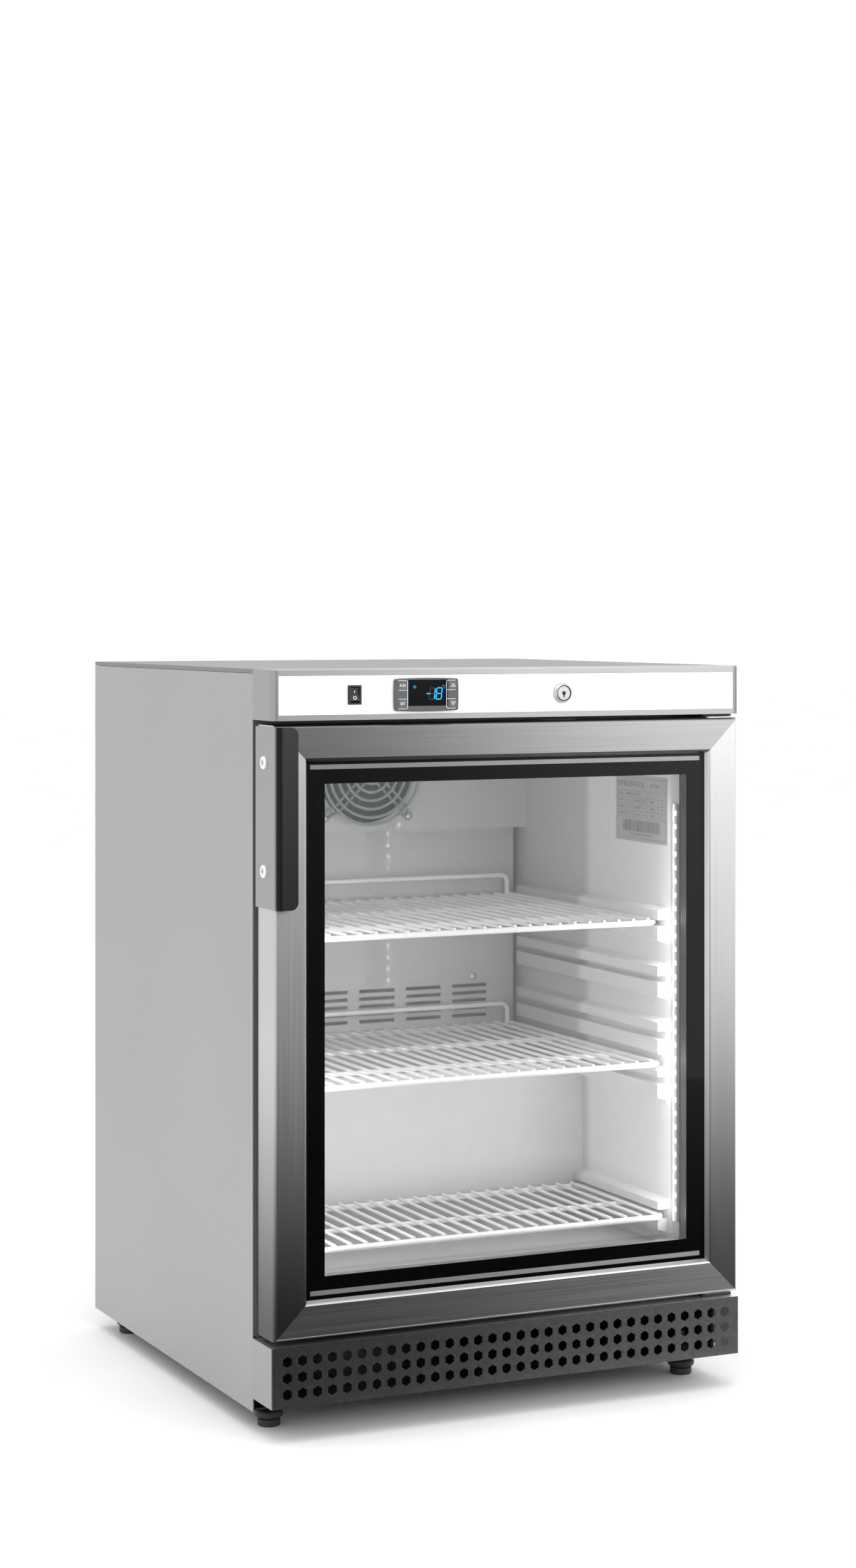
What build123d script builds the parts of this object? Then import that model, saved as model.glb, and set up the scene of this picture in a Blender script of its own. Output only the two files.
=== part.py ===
from build123d import *
from math import cos, radians, sin
import os

os.makedirs("parts", exist_ok=True)

# Undercounter refrigerator, 600 mm wide, with one glazed door hinged on the right.
# +Z is up, +X is the viewer's right and the door faces -Y. Z = 0 is the floor.

# ---------------------------------------------------------------- driving sizes
width = 600.0
depth = 606.7
height = 859.0
half = width / 2
front = -298.0                      # fronts of fascia, door frame and plinth
back = front + depth
sheet = 1.0                         # thickness of the steel casing
gap = 0.3                           # room between pieces that move past each other

case_front = front + 57.2           # front edge of the casing, behind the door
case_bottom = 24.6
fascia_low = 801.8
door_low, door_high = 114.0, 797.0
door_half = 297.5
door_depth = 46.0
plinth_low, plinth_high = 40.0, 107.5

cavity_half = 250.0                 # inside of the cold compartment
cavity_low, cavity_high = 157.7, 789.5
opening_high = 775.5                # top of the opening in the collar, below the ceiling
cavity_back = front + 540.0
step_front = front + 305.0          # box over the compressor, inside the compartment
step_top = 350.0
liner = 2.0
collar = 1.5

bay_front = front + 355.0           # compartment for the compressor, outside at the back
bay_top = 300.0

pivot_x, pivot_y = 286.0, front + 24.0
pin_r = 4.0
running = 0.06                      # radial clearance of pins and shafts

rail_front = front + 88.0           # moulded shelf rails on both walls
rail_back = front + 466.0
rail_inset = 12.7
rail_slope = 4.0
rod_r = 3.5                         # frame rod of the shelves
shelf_half = 245.5
wire_r = 2.0
wire_pitch = 20.0
wire_count = 24

duct_front = front + 481.0          # panel over the evaporator
cover_front = front + 461.0         # box with the fan, above that panel
cover_low = 638.5
fan_x, fan_z = 16.9, 717.1
fan_r = 58.0                        # evaporator fan blades

insert_half = 292.0                 # white strip in the fascia
insert_low, insert_high = 807.6, 852.0
lock_x, lock_z = 62.3, 829.0
switch_x, switch_z = -200.1, 829.9
control_x, control_z = -112.6, 829.2
control_w, control_h = 79.6, 38.0


def block(x, y, z, mode=Mode.ADD):
    """A box given by its low and high limits along X, Y and Z."""
    centre = ((x[0] + x[1]) / 2, (y[0] + y[1]) / 2, (z[0] + z[1]) / 2)
    with Locations(centre):
        Box(x[1] - x[0], y[1] - y[0], z[1] - z[0], mode=mode)


def bar_y(x, z, r, y0, y1, mode=Mode.ADD):
    """A round bar along Y from y0 to y1."""
    with Locations(Location((x, (y0 + y1) / 2, z), (90, 0, 0))):
        Cylinder(r, abs(y1 - y0), mode=mode)


def bar_x(y, z, r, x0, x1, mode=Mode.ADD):
    """A round bar along X from x0 to x1."""
    with Locations(Location(((x0 + x1) / 2, y, z), (0, 90, 0))):
        Cylinder(r, abs(x1 - x0), mode=mode)


def bar_z(x, y, r, z0, z1, mode=Mode.ADD):
    """A round bar along Z from z0 to z1."""
    with Locations((x, y, (z0 + z1) / 2)):
        Cylinder(r, abs(z1 - z0), mode=mode)


def save(piece, node):
    piece.part.label = node
    export_step(piece.part, f"parts/{node}.step")


# ---------------------------------------------------------------- casing
top_lip = 5.0
seam = 0.4

for side, name in ((-1, "left"), (1, "right")):
    skin_x = sorted((side * half, side * (half - sheet)))
    turn_x = sorted((side * (half - sheet), side * (half - 16.0)))
    with BuildPart() as side_panel:
        block(skin_x, (case_front, back), (case_bottom, height - top_lip - seam))
        block(turn_x, (case_front + 20, back - 20), (case_bottom, case_bottom + sheet))
    save(side_panel, f"side_panel_{name}")

with BuildPart() as top_panel:
    block((-half, half), (case_front, back), (height - top_lip, height))
    block(
        (-half + sheet, half - sheet),
        (case_front + sheet, back - sheet),
        (height - top_lip, height - sheet),
        Mode.SUBTRACT,
    )
    fillet(top_panel.edges().filter_by(Axis.Y).group_by(Axis.Z)[-1], 0.8)
save(top_panel, "top_panel")

with BuildPart() as back_panel:
    block((-half + sheet, half - sheet), (back - sheet, back), (bay_top, height - top_lip - seam))
save(back_panel, "back_panel")

# Cold compartment as one void, used by the liner.
with BuildPart() as cavity:
    with BuildSketch(Plane.YZ):
        with BuildLine():
            Polyline(
                (case_front, cavity_low),
                (step_front, cavity_low),
                (step_front, step_top),
                (cavity_back, step_top),
                (cavity_back, cavity_high),
                (case_front, cavity_high),
                close=True,
            )
        make_face()
    extrude(amount=cavity_half, both=True)
    fillet(cavity.edges().filter_by(Axis.Y), 6)

# Heights of the moulded rails, low and high; the upper rail of each pair slopes on
# its top and the lower one on its underside, and a shelf rests between the two.
upper_rails = ((550.3, 565.5), (482.7, 498.1), (415.4, 430.3), (360.4, 371.9), (200.2, 213.7))
lower_rails = ((521.5, 542.4), (453.5, 474.4), (384.9, 405.7), (331.7, 351.3), (172.2, 188.6))


def rail(side, low, high, slope_low, slope_high):
    """A moulded rail on one wall, from its front end to the step or to the rear."""
    wall = side * (cavity_half + 0.5)
    edge = side * (cavity_half - rail_inset)
    rear = step_front if low < step_top else rail_back
    with BuildSketch(Plane.XZ.offset(-rail_front)) as profile:
        with BuildLine():
            Polyline(
                (wall, low),
                (edge, low + slope_low),
                (edge, high - slope_high),
                (wall, high),
                close=True,
            )
        make_face()
    extrude(profile.sketch, amount=-(rear - rail_front))


liner_front = case_front + collar + 0.1
plate_seam = 0.05
with BuildPart() as inner_liner:
    with BuildSketch(Plane.YZ):
        with BuildLine():
            Polyline(
                (liner_front, cavity_low - liner),
                (step_front + liner, cavity_low - liner),
                (step_front + liner, step_top - liner),
                (cavity_back + liner, step_top - liner),
                (cavity_back + liner, cavity_high + liner),
                (liner_front, cavity_high + liner),
                close=True,
            )
        make_face()
    extrude(amount=cavity_half + liner, both=True)
    block(
        (-cavity_half - 12, cavity_half + 12),
        (liner_front, liner_front + liner),
        (cavity_low - 12, cavity_high + 12),
    )
    add(cavity.part, mode=Mode.SUBTRACT)
    for side in (-1, 1):
        for low, high in upper_rails:
            rail(side, low, high, 0, rail_slope)
        for low, high in lower_rails:
            rail(side, low, high, rail_slope, 0)
    # The plate in front of the compressor is a piece of its own, let into the moulded shell.
    across = (-cavity_half - 5, cavity_half + 5)
    block(
        across,
        (step_front - plate_seam, step_front),
        (cavity_low - 5, step_top - liner),
        Mode.SUBTRACT,
    )
    block(
        across,
        (step_front - plate_seam, step_front + liner + 1),
        (step_top - liner - plate_seam, step_top - liner),
        Mode.SUBTRACT,
    )
save(inner_liner, "inner_liner")

# Front face of the casing around the compartment; it also closes the fascia from behind.
with BuildPart() as front_collar:
    block((-half + sheet, half - sheet), (case_front, case_front + collar), (108, height - 5.4))
    block(
        (-cavity_half, cavity_half),
        (case_front - 1, case_front + collar + 1),
        (cavity_low, opening_high),
        Mode.SUBTRACT,
    )
    fillet(front_collar.edges().filter_by(Axis.Y).group_by(SortBy.LENGTH)[0], 5)
save(front_collar, "front_collar")

foam_front = liner_front + liner + 0.1
foam_skin = 0.2
with BuildPart() as foam_insulation:
    with BuildSketch(Plane.YZ):
        with BuildLine():
            Polyline(
                (foam_front, plinth_high + 0.9),
                (bay_front, plinth_high + 0.9),
                (bay_front, bay_top + 1),
                (back - sheet - foam_skin, bay_top + 1),
                (back - sheet - foam_skin, height - top_lip - seam),
                (foam_front, height - top_lip - seam),
                close=True,
            )
        make_face()
    extrude(amount=half - sheet - foam_skin, both=True)
    with BuildSketch(Plane.YZ):
        with BuildLine():
            Polyline(
                (foam_front - 5, cavity_low - liner - foam_skin),
                (step_front + liner + foam_skin, cavity_low - liner - foam_skin),
                (step_front + liner + foam_skin, step_top - liner - foam_skin),
                (cavity_back + liner + foam_skin, step_top - liner - foam_skin),
                (cavity_back + liner + foam_skin, cavity_high + liner + foam_skin),
                (foam_front - 5, cavity_high + liner + foam_skin),
                close=True,
            )
        make_face()
    extrude(amount=cavity_half + liner + foam_skin, both=True, mode=Mode.SUBTRACT)
save(foam_insulation, "foam_insulation")

# Folded frame under the compartment: floor plate, uprights, and the plates that
# separate the foam from the air channel and from the compressor's bay.
frame_sheet = 2.0
frame_x = half - sheet - 0.2
pan_low = case_bottom + sheet + 0.2
foot_x = 269.0
foot_y_front = front + 85.0
foot_y_rear = back - 45.0
foot_places = (
    ("front_left", -foot_x, foot_y_front),
    ("front_right", foot_x, foot_y_front),
    ("rear_left", -foot_x, foot_y_rear),
    ("rear_right", foot_x, foot_y_rear),
)
stud_r = 5.0
with BuildPart() as base_frame:
    inner_y = (case_front + collar + 0.2, back - sheet - 0.2)
    block((-frame_x, frame_x), inner_y, (pan_low, pan_low + frame_sheet))
    for side in (-1, 1):
        upright = sorted((side * frame_x, side * (frame_x - frame_sheet)))
        block(upright, inner_y, (pan_low, plinth_high))
    block((-frame_x, frame_x), (inner_y[0], bay_front), (plinth_high - frame_sheet, plinth_high))
    block(
        (-frame_x, frame_x),
        (bay_front, bay_front + frame_sheet),
        (plinth_high - frame_sheet, bay_top),
    )
    block((-frame_x, frame_x), (bay_front, inner_y[1]), (bay_top - frame_sheet, bay_top))
    for _, x, y in foot_places:
        bar_z(x, y, 10, pan_low + frame_sheet, pan_low + frame_sheet + 8)
        bar_z(x, y, stud_r + running, pan_low - 1, pan_low + frame_sheet + 9, Mode.SUBTRACT)
save(base_frame, "base_frame")

# Levelling feet: a round pad, a collar and a neck in rubber over a steel stud.
stud_top = 52.0
for name, x, y in foot_places:
    with BuildPart() as foot:
        with BuildSketch(Plane(origin=(x, y, 0), x_dir=(1, 0, 0), z_dir=(0, -1, 0))):
            with BuildLine():
                Polyline((0, 0), (11.8, 0), (13, 1.2), (13, 7.6), (11.5, 8.6))
                Line((11.5, 8.6), (13.8, 9.6))
                ThreePointArc((13.8, 9.6), (16.4, 14), (13.2, 18.8))
                Polyline((13.2, 18.8), (9.5, 19.6), (stud_r, 19.6), (stud_r, stud_top), (0, stud_top))
                Line((0, stud_top), (0, 0))
            make_face()
        revolve(axis=Axis((x, y, 0), (0, 0, 1)))
    save(foot, f"foot_{name}")

# ---------------------------------------------------------------- fascia and plinth
fascia_r = 7.6
fascia_back = case_front - 0.1
fascia_wall = 1.2
with BuildPart() as fascia_pocket:
    block(
        (-half + fascia_wall, half - fascia_wall),
        (front + fascia_wall, fascia_back + 1),
        (fascia_low + fascia_wall, height - 0.2 - fascia_wall),
    )
    fillet(fascia_pocket.edges().filter_by(Axis.Z).group_by(Axis.Y)[0], fascia_r - fascia_wall)

with BuildPart() as fascia_bezel:
    block((-half, half), (front, fascia_back), (fascia_low, height - 0.2))
    fillet(fascia_bezel.edges().filter_by(Axis.Z).group_by(Axis.Y)[0], fascia_r)
    fillet(fascia_bezel.faces().sort_by(Axis.Z)[-1].edges().sort_by(Axis.Y)[:-1], 0.9)
    add(fascia_pocket.part, mode=Mode.SUBTRACT)
    block(
        (-insert_half, insert_half),
        (front - 5, front + 5),
        (insert_low, insert_high),
        Mode.SUBTRACT,
    )
    # Room for the hinge bracket's leg, and the slot for the lock's tongue.
    block((255, half - 2), (front + 52, fascia_back), (fascia_low - 1, fascia_low + 5), Mode.SUBTRACT)
    block(
        (lock_x - 9, lock_x + 39),
        (front + 34.5, front + 41.5),
        (fascia_low - 1, fascia_low + 5),
        Mode.SUBTRACT,
    )
save(fascia_bezel, "fascia_bezel")

switch_w, switch_h = 16.4, 21.7
body_gap = 0.1
case_w, case_h = 71.0, 29.0
barrel_r = 9.5
with BuildPart() as fascia_insert:
    block(
        (-insert_half + 0.3, insert_half - 0.3),
        (front + 0.5, front + 1.4),
        (insert_low + 0.3, insert_high - 0.3),
    )
    block(
        (-insert_half - 1, insert_half + 1),
        (front + 1.4, front + 3.4),
        (insert_low - 3, insert_high + 3),
    )
    block(
        (switch_x - 6.6, switch_x + 6.6),
        (front, front + 5),
        (switch_z - 9.6, switch_z + 9.6),
        Mode.SUBTRACT,
    )
    block(
        (control_x - case_w / 2 - body_gap, control_x + case_w / 2 + body_gap),
        (front, front + 5),
        (control_z - case_h / 2 - body_gap, control_z + case_h / 2 + body_gap),
        Mode.SUBTRACT,
    )
    bar_y(lock_x, lock_z, barrel_r + body_gap, front, front + 5, Mode.SUBTRACT)
save(fascia_insert, "fascia_insert")

# Sheet grille with three rows of hexagonal holes, folded back at both ends and on top.
hex_pitch = 18.1
hex_side_r = 5.75
with BuildPart() as plinth_grille:
    block((-half, half), (front, case_front - 0.2), (plinth_low, plinth_high))
    fillet(plinth_grille.edges().filter_by(Axis.Z).group_by(Axis.Y)[0], 3)
    block(
        (-half + 1.2, half - 1.2),
        (front + 1.2, case_front + 1),
        (plinth_low - 1, plinth_high - 1.2),
        Mode.SUBTRACT,
    )
    block((255, half - 2), (front + 52, case_front), (plinth_high - 2, plinth_high + 1), Mode.SUBTRACT)
    with BuildSketch(Plane.XZ.offset(-front)):
        with Locations((-0.6, 73.5)):
            with GridLocations(hex_pitch, hex_pitch, 32, 3):
                RegularPolygon(hex_side_r * 1.08, 6, rotation=90)
    extrude(amount=-4, both=True, mode=Mode.SUBTRACT)
save(plinth_grille, "plinth_grille")

# ---------------------------------------------------------------- door
frame_w = 37.0                      # flat face of the frame, outer edge to inner round
glass_front = front + 6.2
lip_x = 41.7                        # from the door's edge to the tip over the glass
trim = 1.0


def mitred_trim(length, cut):
    """Trim lying along +X from the origin, front towards -Y and outer edge down."""
    with BuildPart() as bar:
        with BuildSketch(Plane.YZ) as section:
            with BuildLine():
                Line((door_depth, 0), (7, 0))
                ThreePointArc((7, 0), (2.0, 0.9), (0, 3.4))
                Line((0, 3.4), (0, frame_w))
                ThreePointArc((0, frame_w), (0.45, frame_w + 1.1), (1.4, frame_w + 2))
                Line((1.4, frame_w + 2), (6.0, lip_x))
                Line((6.0, lip_x), (6.0, lip_x - 1.3))
                Line((6.0, lip_x - 1.3), (2.1, frame_w + 1.0))
                Line((2.1, frame_w + 1.0), (trim, frame_w - 0.6))
                Line((trim, frame_w - 0.6), (trim, 4.2))
                ThreePointArc((trim, 4.2), (2.7, 1.7), (7.4, trim))
                Line((7.4, trim), (door_depth, trim))
                Line((door_depth, trim), (door_depth, 0))
            make_face()
        extrude(section.sketch, amount=length)
        with BuildSketch(Plane.XZ.offset(-door_depth - 1)) as mitre:
            with BuildLine():
                Polyline(
                    (cut, 0),
                    (length - cut, 0),
                    (length - cut - lip_x - 2, lip_x + 2),
                    (cut + lip_x + 2, lip_x + 2),
                    close=True,
                )
            make_face()
        extrude(mitre.sketch, amount=door_depth + 2, mode=Mode.INTERSECT)
    return bar.part


door_w = 2 * door_half
door_h = door_high - door_low
mitre_gap = 0.12
trims = (
    ("door_rail_bottom", door_w, Location((-door_half, front, door_low))),
    ("door_rail_top", door_w, Location((door_half, front, door_high), (0, 180, 0))),
    ("door_stile_left", door_h, Location((-door_half, front, door_high), (0, 90, 0))),
    ("door_stile_right", door_h, Location((door_half, front, door_low), (0, -90, 0))),
)
slot_x = (lock_x - 9, lock_x + 39)
slot_y = (front + 34.5, front + 41.5)
slot_low = 783.0
plug_r = 6.0                        # body of the hinge bushes
handle_screw_z = (755.0, 634.0)
handle_screw_y = front + 24.0
screw_r = 2.0
for name, length, place in trims:
    bar = place * mitred_trim(length, mitre_gap)
    with BuildPart() as trim_bar:
        add(bar)
        if name == "door_rail_top":
            block(slot_x, slot_y, (slot_low, door_high + 1), Mode.SUBTRACT)
            bar_z(pivot_x, pivot_y, plug_r, 780, 800, Mode.SUBTRACT)
        if name == "door_rail_bottom":
            bar_z(pivot_x, pivot_y, plug_r, 110, 130, Mode.SUBTRACT)
        if name == "door_stile_left":
            for z in handle_screw_z:
                bar_x(handle_screw_y, z, screw_r, -half, -280, Mode.SUBTRACT)
    save(trim_bar, name)

core_inset = 1.3
unit_half = 261.5                   # double glazing
unit_low, unit_high = door_low + 36.0, door_high - 36.0
unit_back = front + 30.2


def ring(inner, outer, y, low, high):
    """Rectangular ring in the door: insets from the door's edge, between two depths."""
    block(
        (-door_half + outer, door_half - outer),
        y,
        (low + outer, high - outer),
    )
    block(
        (-door_half + inner, door_half - inner),
        (y[0] - 0.1, y[1] + 0.1),
        (low + inner, high - inner),
        Mode.SUBTRACT,
    )


with BuildPart() as door_core:
    ring(35.7, core_inset, (front + 7.6, unit_back + 0.2), door_low, door_high)
    ring(35.7, 4.8, (front + 1.3, front + 7.6), door_low, door_high)
    for low, high in ((door_low - 1, door_low + 26), (door_high - 26, door_high + 1)):
        bar_z(pivot_x, pivot_y, plug_r, low, high, Mode.SUBTRACT)
    block(slot_x, slot_y, (slot_low, door_high), Mode.SUBTRACT)
    for z in handle_screw_z:
        bar_x(handle_screw_y, z, screw_r, -half, -280, Mode.SUBTRACT)
save(door_core, "door_core")

with BuildPart() as door_inner_frame:
    ring(51.5, core_inset, (unit_back + 0.3, front + door_depth), door_low, door_high)
    block(slot_x, slot_y, (slot_low, door_high), Mode.SUBTRACT)
    chamfer(door_inner_frame.faces().sort_by(Axis.Y)[-1].inner_wires()[0].edges(), 3)
save(door_inner_frame, "door_inner_frame")

pane = 4.0
print_depth = 0.2
border_half = 232.6
border_low, border_high = 180.5, 730.7
spacer_face = border_half + 1.2
outer_pane_back = glass_front + pane
with BuildPart() as glass_outer:
    block((-unit_half, unit_half), (glass_front, outer_pane_back), (unit_low, unit_high))
save(glass_outer, "glass_outer")

with BuildPart() as glass_inner:
    block((-unit_half, unit_half), (unit_back - pane, unit_back), (unit_low, unit_high))
save(glass_inner, "glass_inner")

# Printed border on the back of the outer pane.
with BuildPart() as glass_border:
    printed = (outer_pane_back, outer_pane_back + print_depth)
    block((-unit_half, unit_half), printed, (unit_low, unit_high))
    block(
        (-border_half, border_half),
        (printed[0] - 1, printed[1] + 1),
        (border_low, border_high),
        Mode.SUBTRACT,
    )
save(glass_border, "glass_border")

with BuildPart() as glass_spacer:
    spacer_y = (outer_pane_back + print_depth, unit_back - pane)
    block((-unit_half + 2, unit_half - 2), spacer_y, (unit_low + 2, unit_high - 2))
    block(
        (-spacer_face, spacer_face),
        (spacer_y[0] - 1, spacer_y[1] + 1),
        (border_low - 1.2, border_high + 1.2),
        Mode.SUBTRACT,
    )
save(glass_spacer, "glass_spacer")

gasket_back = case_front - 0.3
with BuildPart() as door_gasket:
    ring(33, 15, (front + door_depth, front + door_depth + 3), door_low, door_high + 12)
    ring(34.5, 14, (front + door_depth + 3, gasket_back), door_low, door_high + 12)
save(door_gasket, "door_gasket")

# Bent plate on the door's left edge: its front leaf stands clear of the door.
plate = 2.0
handle_low, handle_high = 592.8, 795.0
handle_front = front - 11.5
handle_r = 8.0
handle_edge = -272.8
with BuildPart() as handle:
    side_x = -door_half - plate
    with BuildSketch(Plane.XY.offset(handle_low)):
        with BuildLine():
            rear_y = front + 49.5
            bend = (side_x + handle_r, handle_front + handle_r)
            Line((side_x, rear_y), (side_x, bend[1]))
            RadiusArc((side_x, bend[1]), (bend[0], handle_front), -handle_r)
            Line((bend[0], handle_front), (handle_edge, handle_front))
            Line((handle_edge, handle_front), (handle_edge, handle_front + plate))
            Line((handle_edge, handle_front + plate), (bend[0], handle_front + plate))
            RadiusArc((bend[0], handle_front + plate), (side_x + plate, bend[1]), handle_r - plate)
            Line((side_x + plate, bend[1]), (side_x + plate, rear_y))
            Line((side_x + plate, rear_y), (side_x, rear_y))
        make_face()
    extrude(amount=handle_high - handle_low)
    fillet(handle.edges().filter_by(Axis.Y).group_by(Axis.X)[-1], 8.6)
    for z in handle_screw_z:
        bar_x(handle_screw_y, z, screw_r, -half - 2, -290, Mode.SUBTRACT)
save(handle, "handle")

# Two cross-head screws, each sunk in a round plastic cup.
cup_out = -door_half - plate - 2.5
with BuildPart() as handle_screws:
    for z in handle_screw_z:
        bar_x(handle_screw_y, z, screw_r, -door_half - plate, -282)
        bar_x(handle_screw_y, z, 4.4, -door_half - plate - 1.4, -door_half - plate)
        for turn in (35, 125):
            with Locations(Location((-door_half - plate - 1.4, handle_screw_y, z), (turn, 0, 0))):
                Box(1.6, 5, 0.9, mode=Mode.SUBTRACT)
save(handle_screws, "handle_screws")

with BuildPart() as handle_screw_cups:
    for z in handle_screw_z:
        bar_x(handle_screw_y, z, 7.2, cup_out, -door_half - plate)
    fillet(handle_screw_cups.faces().group_by(Axis.X)[0].edges(), 1.4)
    for z in handle_screw_z:
        bar_x(handle_screw_y, z, 4.5, cup_out - 1, -290, Mode.SUBTRACT)
save(handle_screw_cups, "handle_screw_cups")

# ---------------------------------------------------------------- hinges
bracket = 3.0
bracket_top_z = fascia_low - 0.2 - bracket
bracket_low_z = plinth_high + 0.2
leg = 26.0
leg_y = (case_front - bracket, case_front)
pin_bite = 22.0
with BuildPart() as hinge_brackets:
    for plate_low, leg_z in (
        (bracket_top_z, (bracket_top_z, bracket_top_z + leg)),
        (bracket_low_z, (bracket_low_z + bracket - leg, bracket_low_z + bracket)),
    ):
        block((258, 297), (front + 14, case_front), (plate_low, plate_low + bracket))
        block((258, 297), leg_y, leg_z)
    bar_z(pivot_x, pivot_y, pin_r, door_high - pin_bite, bracket_top_z + bracket)
    bar_z(pivot_x, pivot_y, pin_r, bracket_low_z, door_low + pin_bite)
save(hinge_brackets, "hinge_brackets")

flange_top = bracket_top_z - gap
flange_low = bracket_low_z + bracket + gap
with BuildPart() as hinge_bushes:
    block((262, 296), (front + 11, front + 38), (door_high, flange_top))
    block((262, 296), (front + 11, front + 38), (flange_low, door_low))
    fillet(hinge_bushes.edges().filter_by(Axis.Z), 4)
    bar_z(pivot_x, pivot_y, plug_r - 0.02, door_high - 25, door_high)
    bar_z(pivot_x, pivot_y, plug_r - 0.02, door_low, door_low + 25)
    bar_z(pivot_x, pivot_y, pin_r + running, door_high - 24, door_high + 4, Mode.SUBTRACT)
    bar_z(pivot_x, pivot_y, pin_r + running, door_low - 4, door_low + 24, Mode.SUBTRACT)
save(hinge_bushes, "hinge_bushes")

# ---------------------------------------------------------------- lock
lock_plane = Plane(origin=(lock_x, front, lock_z), x_dir=(1, 0, 0), z_dir=(0, 0, 1))
bore_r = 8.5
barrel_back = front + 35.0
with BuildPart() as lock_barrel:
    with BuildSketch(lock_plane):
        with BuildLine():
            Polyline((0, -5), (9.4, -5), (11.8, -0.8), (11.8, 0.5), (barrel_r, 0.5), (barrel_r, 35), (0, 35))
            Line((0, 35), (0, -5))
        make_face()
    revolve(axis=Axis((lock_x, 0, lock_z), (0, 1, 0)))
    bar_y(lock_x, lock_z, bore_r + running, front - 6, front + 36, Mode.SUBTRACT)
save(lock_barrel, "lock_barrel")

tongue_y = (barrel_back + 1.0, barrel_back + 4.0)
with BuildPart() as lock_cylinder:
    bar_y(lock_x, lock_z, bore_r, front - 4.3, barrel_back)
    fillet(lock_cylinder.faces().sort_by(Axis.Y)[0].edges(), 0.8)
    block((lock_x - 3.5, lock_x + 3.5), (barrel_back, tongue_y[1]), (lock_z - 3.5, lock_z + 3.5))
    bar_y(lock_x, lock_z, 2.4, front - 5, front + 10, Mode.SUBTRACT)
    block((lock_x - 0.9, lock_x + 0.9), (front - 5, front + 10), (lock_z - 5, lock_z), Mode.SUBTRACT)
save(lock_cylinder, "lock_cylinder")

tongue = 40.0
with BuildPart() as lock_cam:
    block((lock_x - 7, lock_x + tongue), tongue_y, (lock_z - 7, lock_z + 7))
    fillet(lock_cam.edges().filter_by(Axis.Y), 4)
    block((lock_x - 3.5, lock_x + 3.5), (tongue_y[0] - 1, tongue_y[1] + 1), (lock_z - 3.5, lock_z + 3.5), Mode.SUBTRACT)
save(lock_cam, "lock_cam")

# ---------------------------------------------------------------- switch
rocker_r = 8.3
rocker_half = 5.1
rocker_y = front + 3.0
rocker_tilt = 8.0
with BuildPart() as switch_housing:
    block(
        (switch_x - switch_w / 2, switch_x + switch_w / 2),
        (front - 1.6, front + 0.5),
        (switch_z - switch_h / 2, switch_z + switch_h / 2),
    )
    fillet(switch_housing.faces().sort_by(Axis.Y)[0].edges(), 0.8)
    block((switch_x - 6.5, switch_x + 6.5), (front + 0.5, front + 22), (switch_z - 9.5, switch_z + 9.5))
    cut = (switch_x - rocker_half - 0.25, switch_x + rocker_half + 0.25)
    bar_x(rocker_y, switch_z, rocker_r + 0.4, *cut, Mode.SUBTRACT)
    block(cut, (front - 3, rocker_y), (switch_z - rocker_r - 0.4, switch_z + rocker_r + 0.4), Mode.SUBTRACT)
    for side in (-1, 1):
        block((switch_x + side * 3.5 - 0.4, switch_x + side * 3.5 + 0.4), (front + 22, front + 29), (switch_z - 3, switch_z + 3))
save(switch_housing, "switch_housing")

with BuildPart() as rocker:
    tilt_dir = (0, cos(radians(rocker_tilt)), -sin(radians(rocker_tilt)))
    with BuildSketch(Plane(origin=(switch_x, rocker_y, switch_z), x_dir=tilt_dir, z_dir=(1, 0, 0))):
        with BuildLine():
            Line((-4.0, 7.2), (-3.0, 0))
            Line((-3.0, 0), (-4.0, -7.2))
            ThreePointArc((-4.0, -7.2), (rocker_r, 0), (-4.0, 7.2))
        make_face()
    extrude(amount=rocker_half, both=True)
save(rocker, "rocker")

# ---------------------------------------------------------------- temperature controller
control_front = front - 4.5
button_size = 9.6
button_places = (
    ("aux", control_x - 30.3, control_z + 10.6),
    ("set", control_x - 30.3, control_z - 9.9),
    ("up", control_x + 32.7, control_z + 10.6),
    ("down", control_x + 32.7, control_z - 9.9),
)
window_x = (control_x - 23.4, control_x + 26.3)
window_z = (control_z - 12.6, control_z + 17.0)
with BuildPart() as controller_case:
    with BuildSketch(Plane.XZ.offset(-control_front)):
        with BuildLine():
            w = control_w / 2
            h = control_h / 2
            left_low = (control_x - w + 0.6, control_z - h + 1.2)
            left_high = (control_x - w + 0.6, control_z + h - 1.0)
            right_low = (control_x + w - 0.6, control_z - h + 1.2)
            right_high = (control_x + w - 0.6, control_z + h - 1.0)
            ThreePointArc(left_low, (control_x, control_z - h), right_low)
            ThreePointArc(right_low, (control_x + w, control_z), right_high)
            ThreePointArc(right_high, (control_x, control_z + h), left_high)
            ThreePointArc(left_high, (control_x - w, control_z), left_low)
        make_face()
    extrude(amount=-(front + 0.5 - control_front))
    fillet(controller_case.edges().filter_by(Axis.Y), 2.2)
    fillet(controller_case.faces().sort_by(Axis.Y)[0].edges(), 1.0)
    block(
        (control_x - case_w / 2, control_x + case_w / 2),
        (front + 0.5, front + 46),
        (control_z - case_h / 2, control_z + case_h / 2),
    )
    block(window_x, (control_front - 1, control_front + 1.5), window_z, Mode.SUBTRACT)
    for _, x, z in button_places:
        reach = button_size / 2 + 0.15
        block((x - reach, x + reach), (control_front - 1, control_front + 3.4), (z - reach, z + reach), Mode.SUBTRACT)
save(controller_case, "controller_case")

with BuildPart() as controller_window:
    block(window_x, (control_front + 0.3, control_front + 1.5), window_z)
save(controller_window, "controller_window")

for name, x, z in button_places:
    with BuildPart() as button:
        reach = button_size / 2
        block((x - reach, x + reach), (control_front - 0.2, control_front + 2.2), (z - reach, z + reach))
        fillet(button.faces().sort_by(Axis.Y)[0].edges(), 0.5)
    save(button, f"button_{name}")

# ---------------------------------------------------------------- shelves
stop_height = 29.0
stop_r = 3.0
stop_x = 224.8
stop_seat = 0.02


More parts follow.
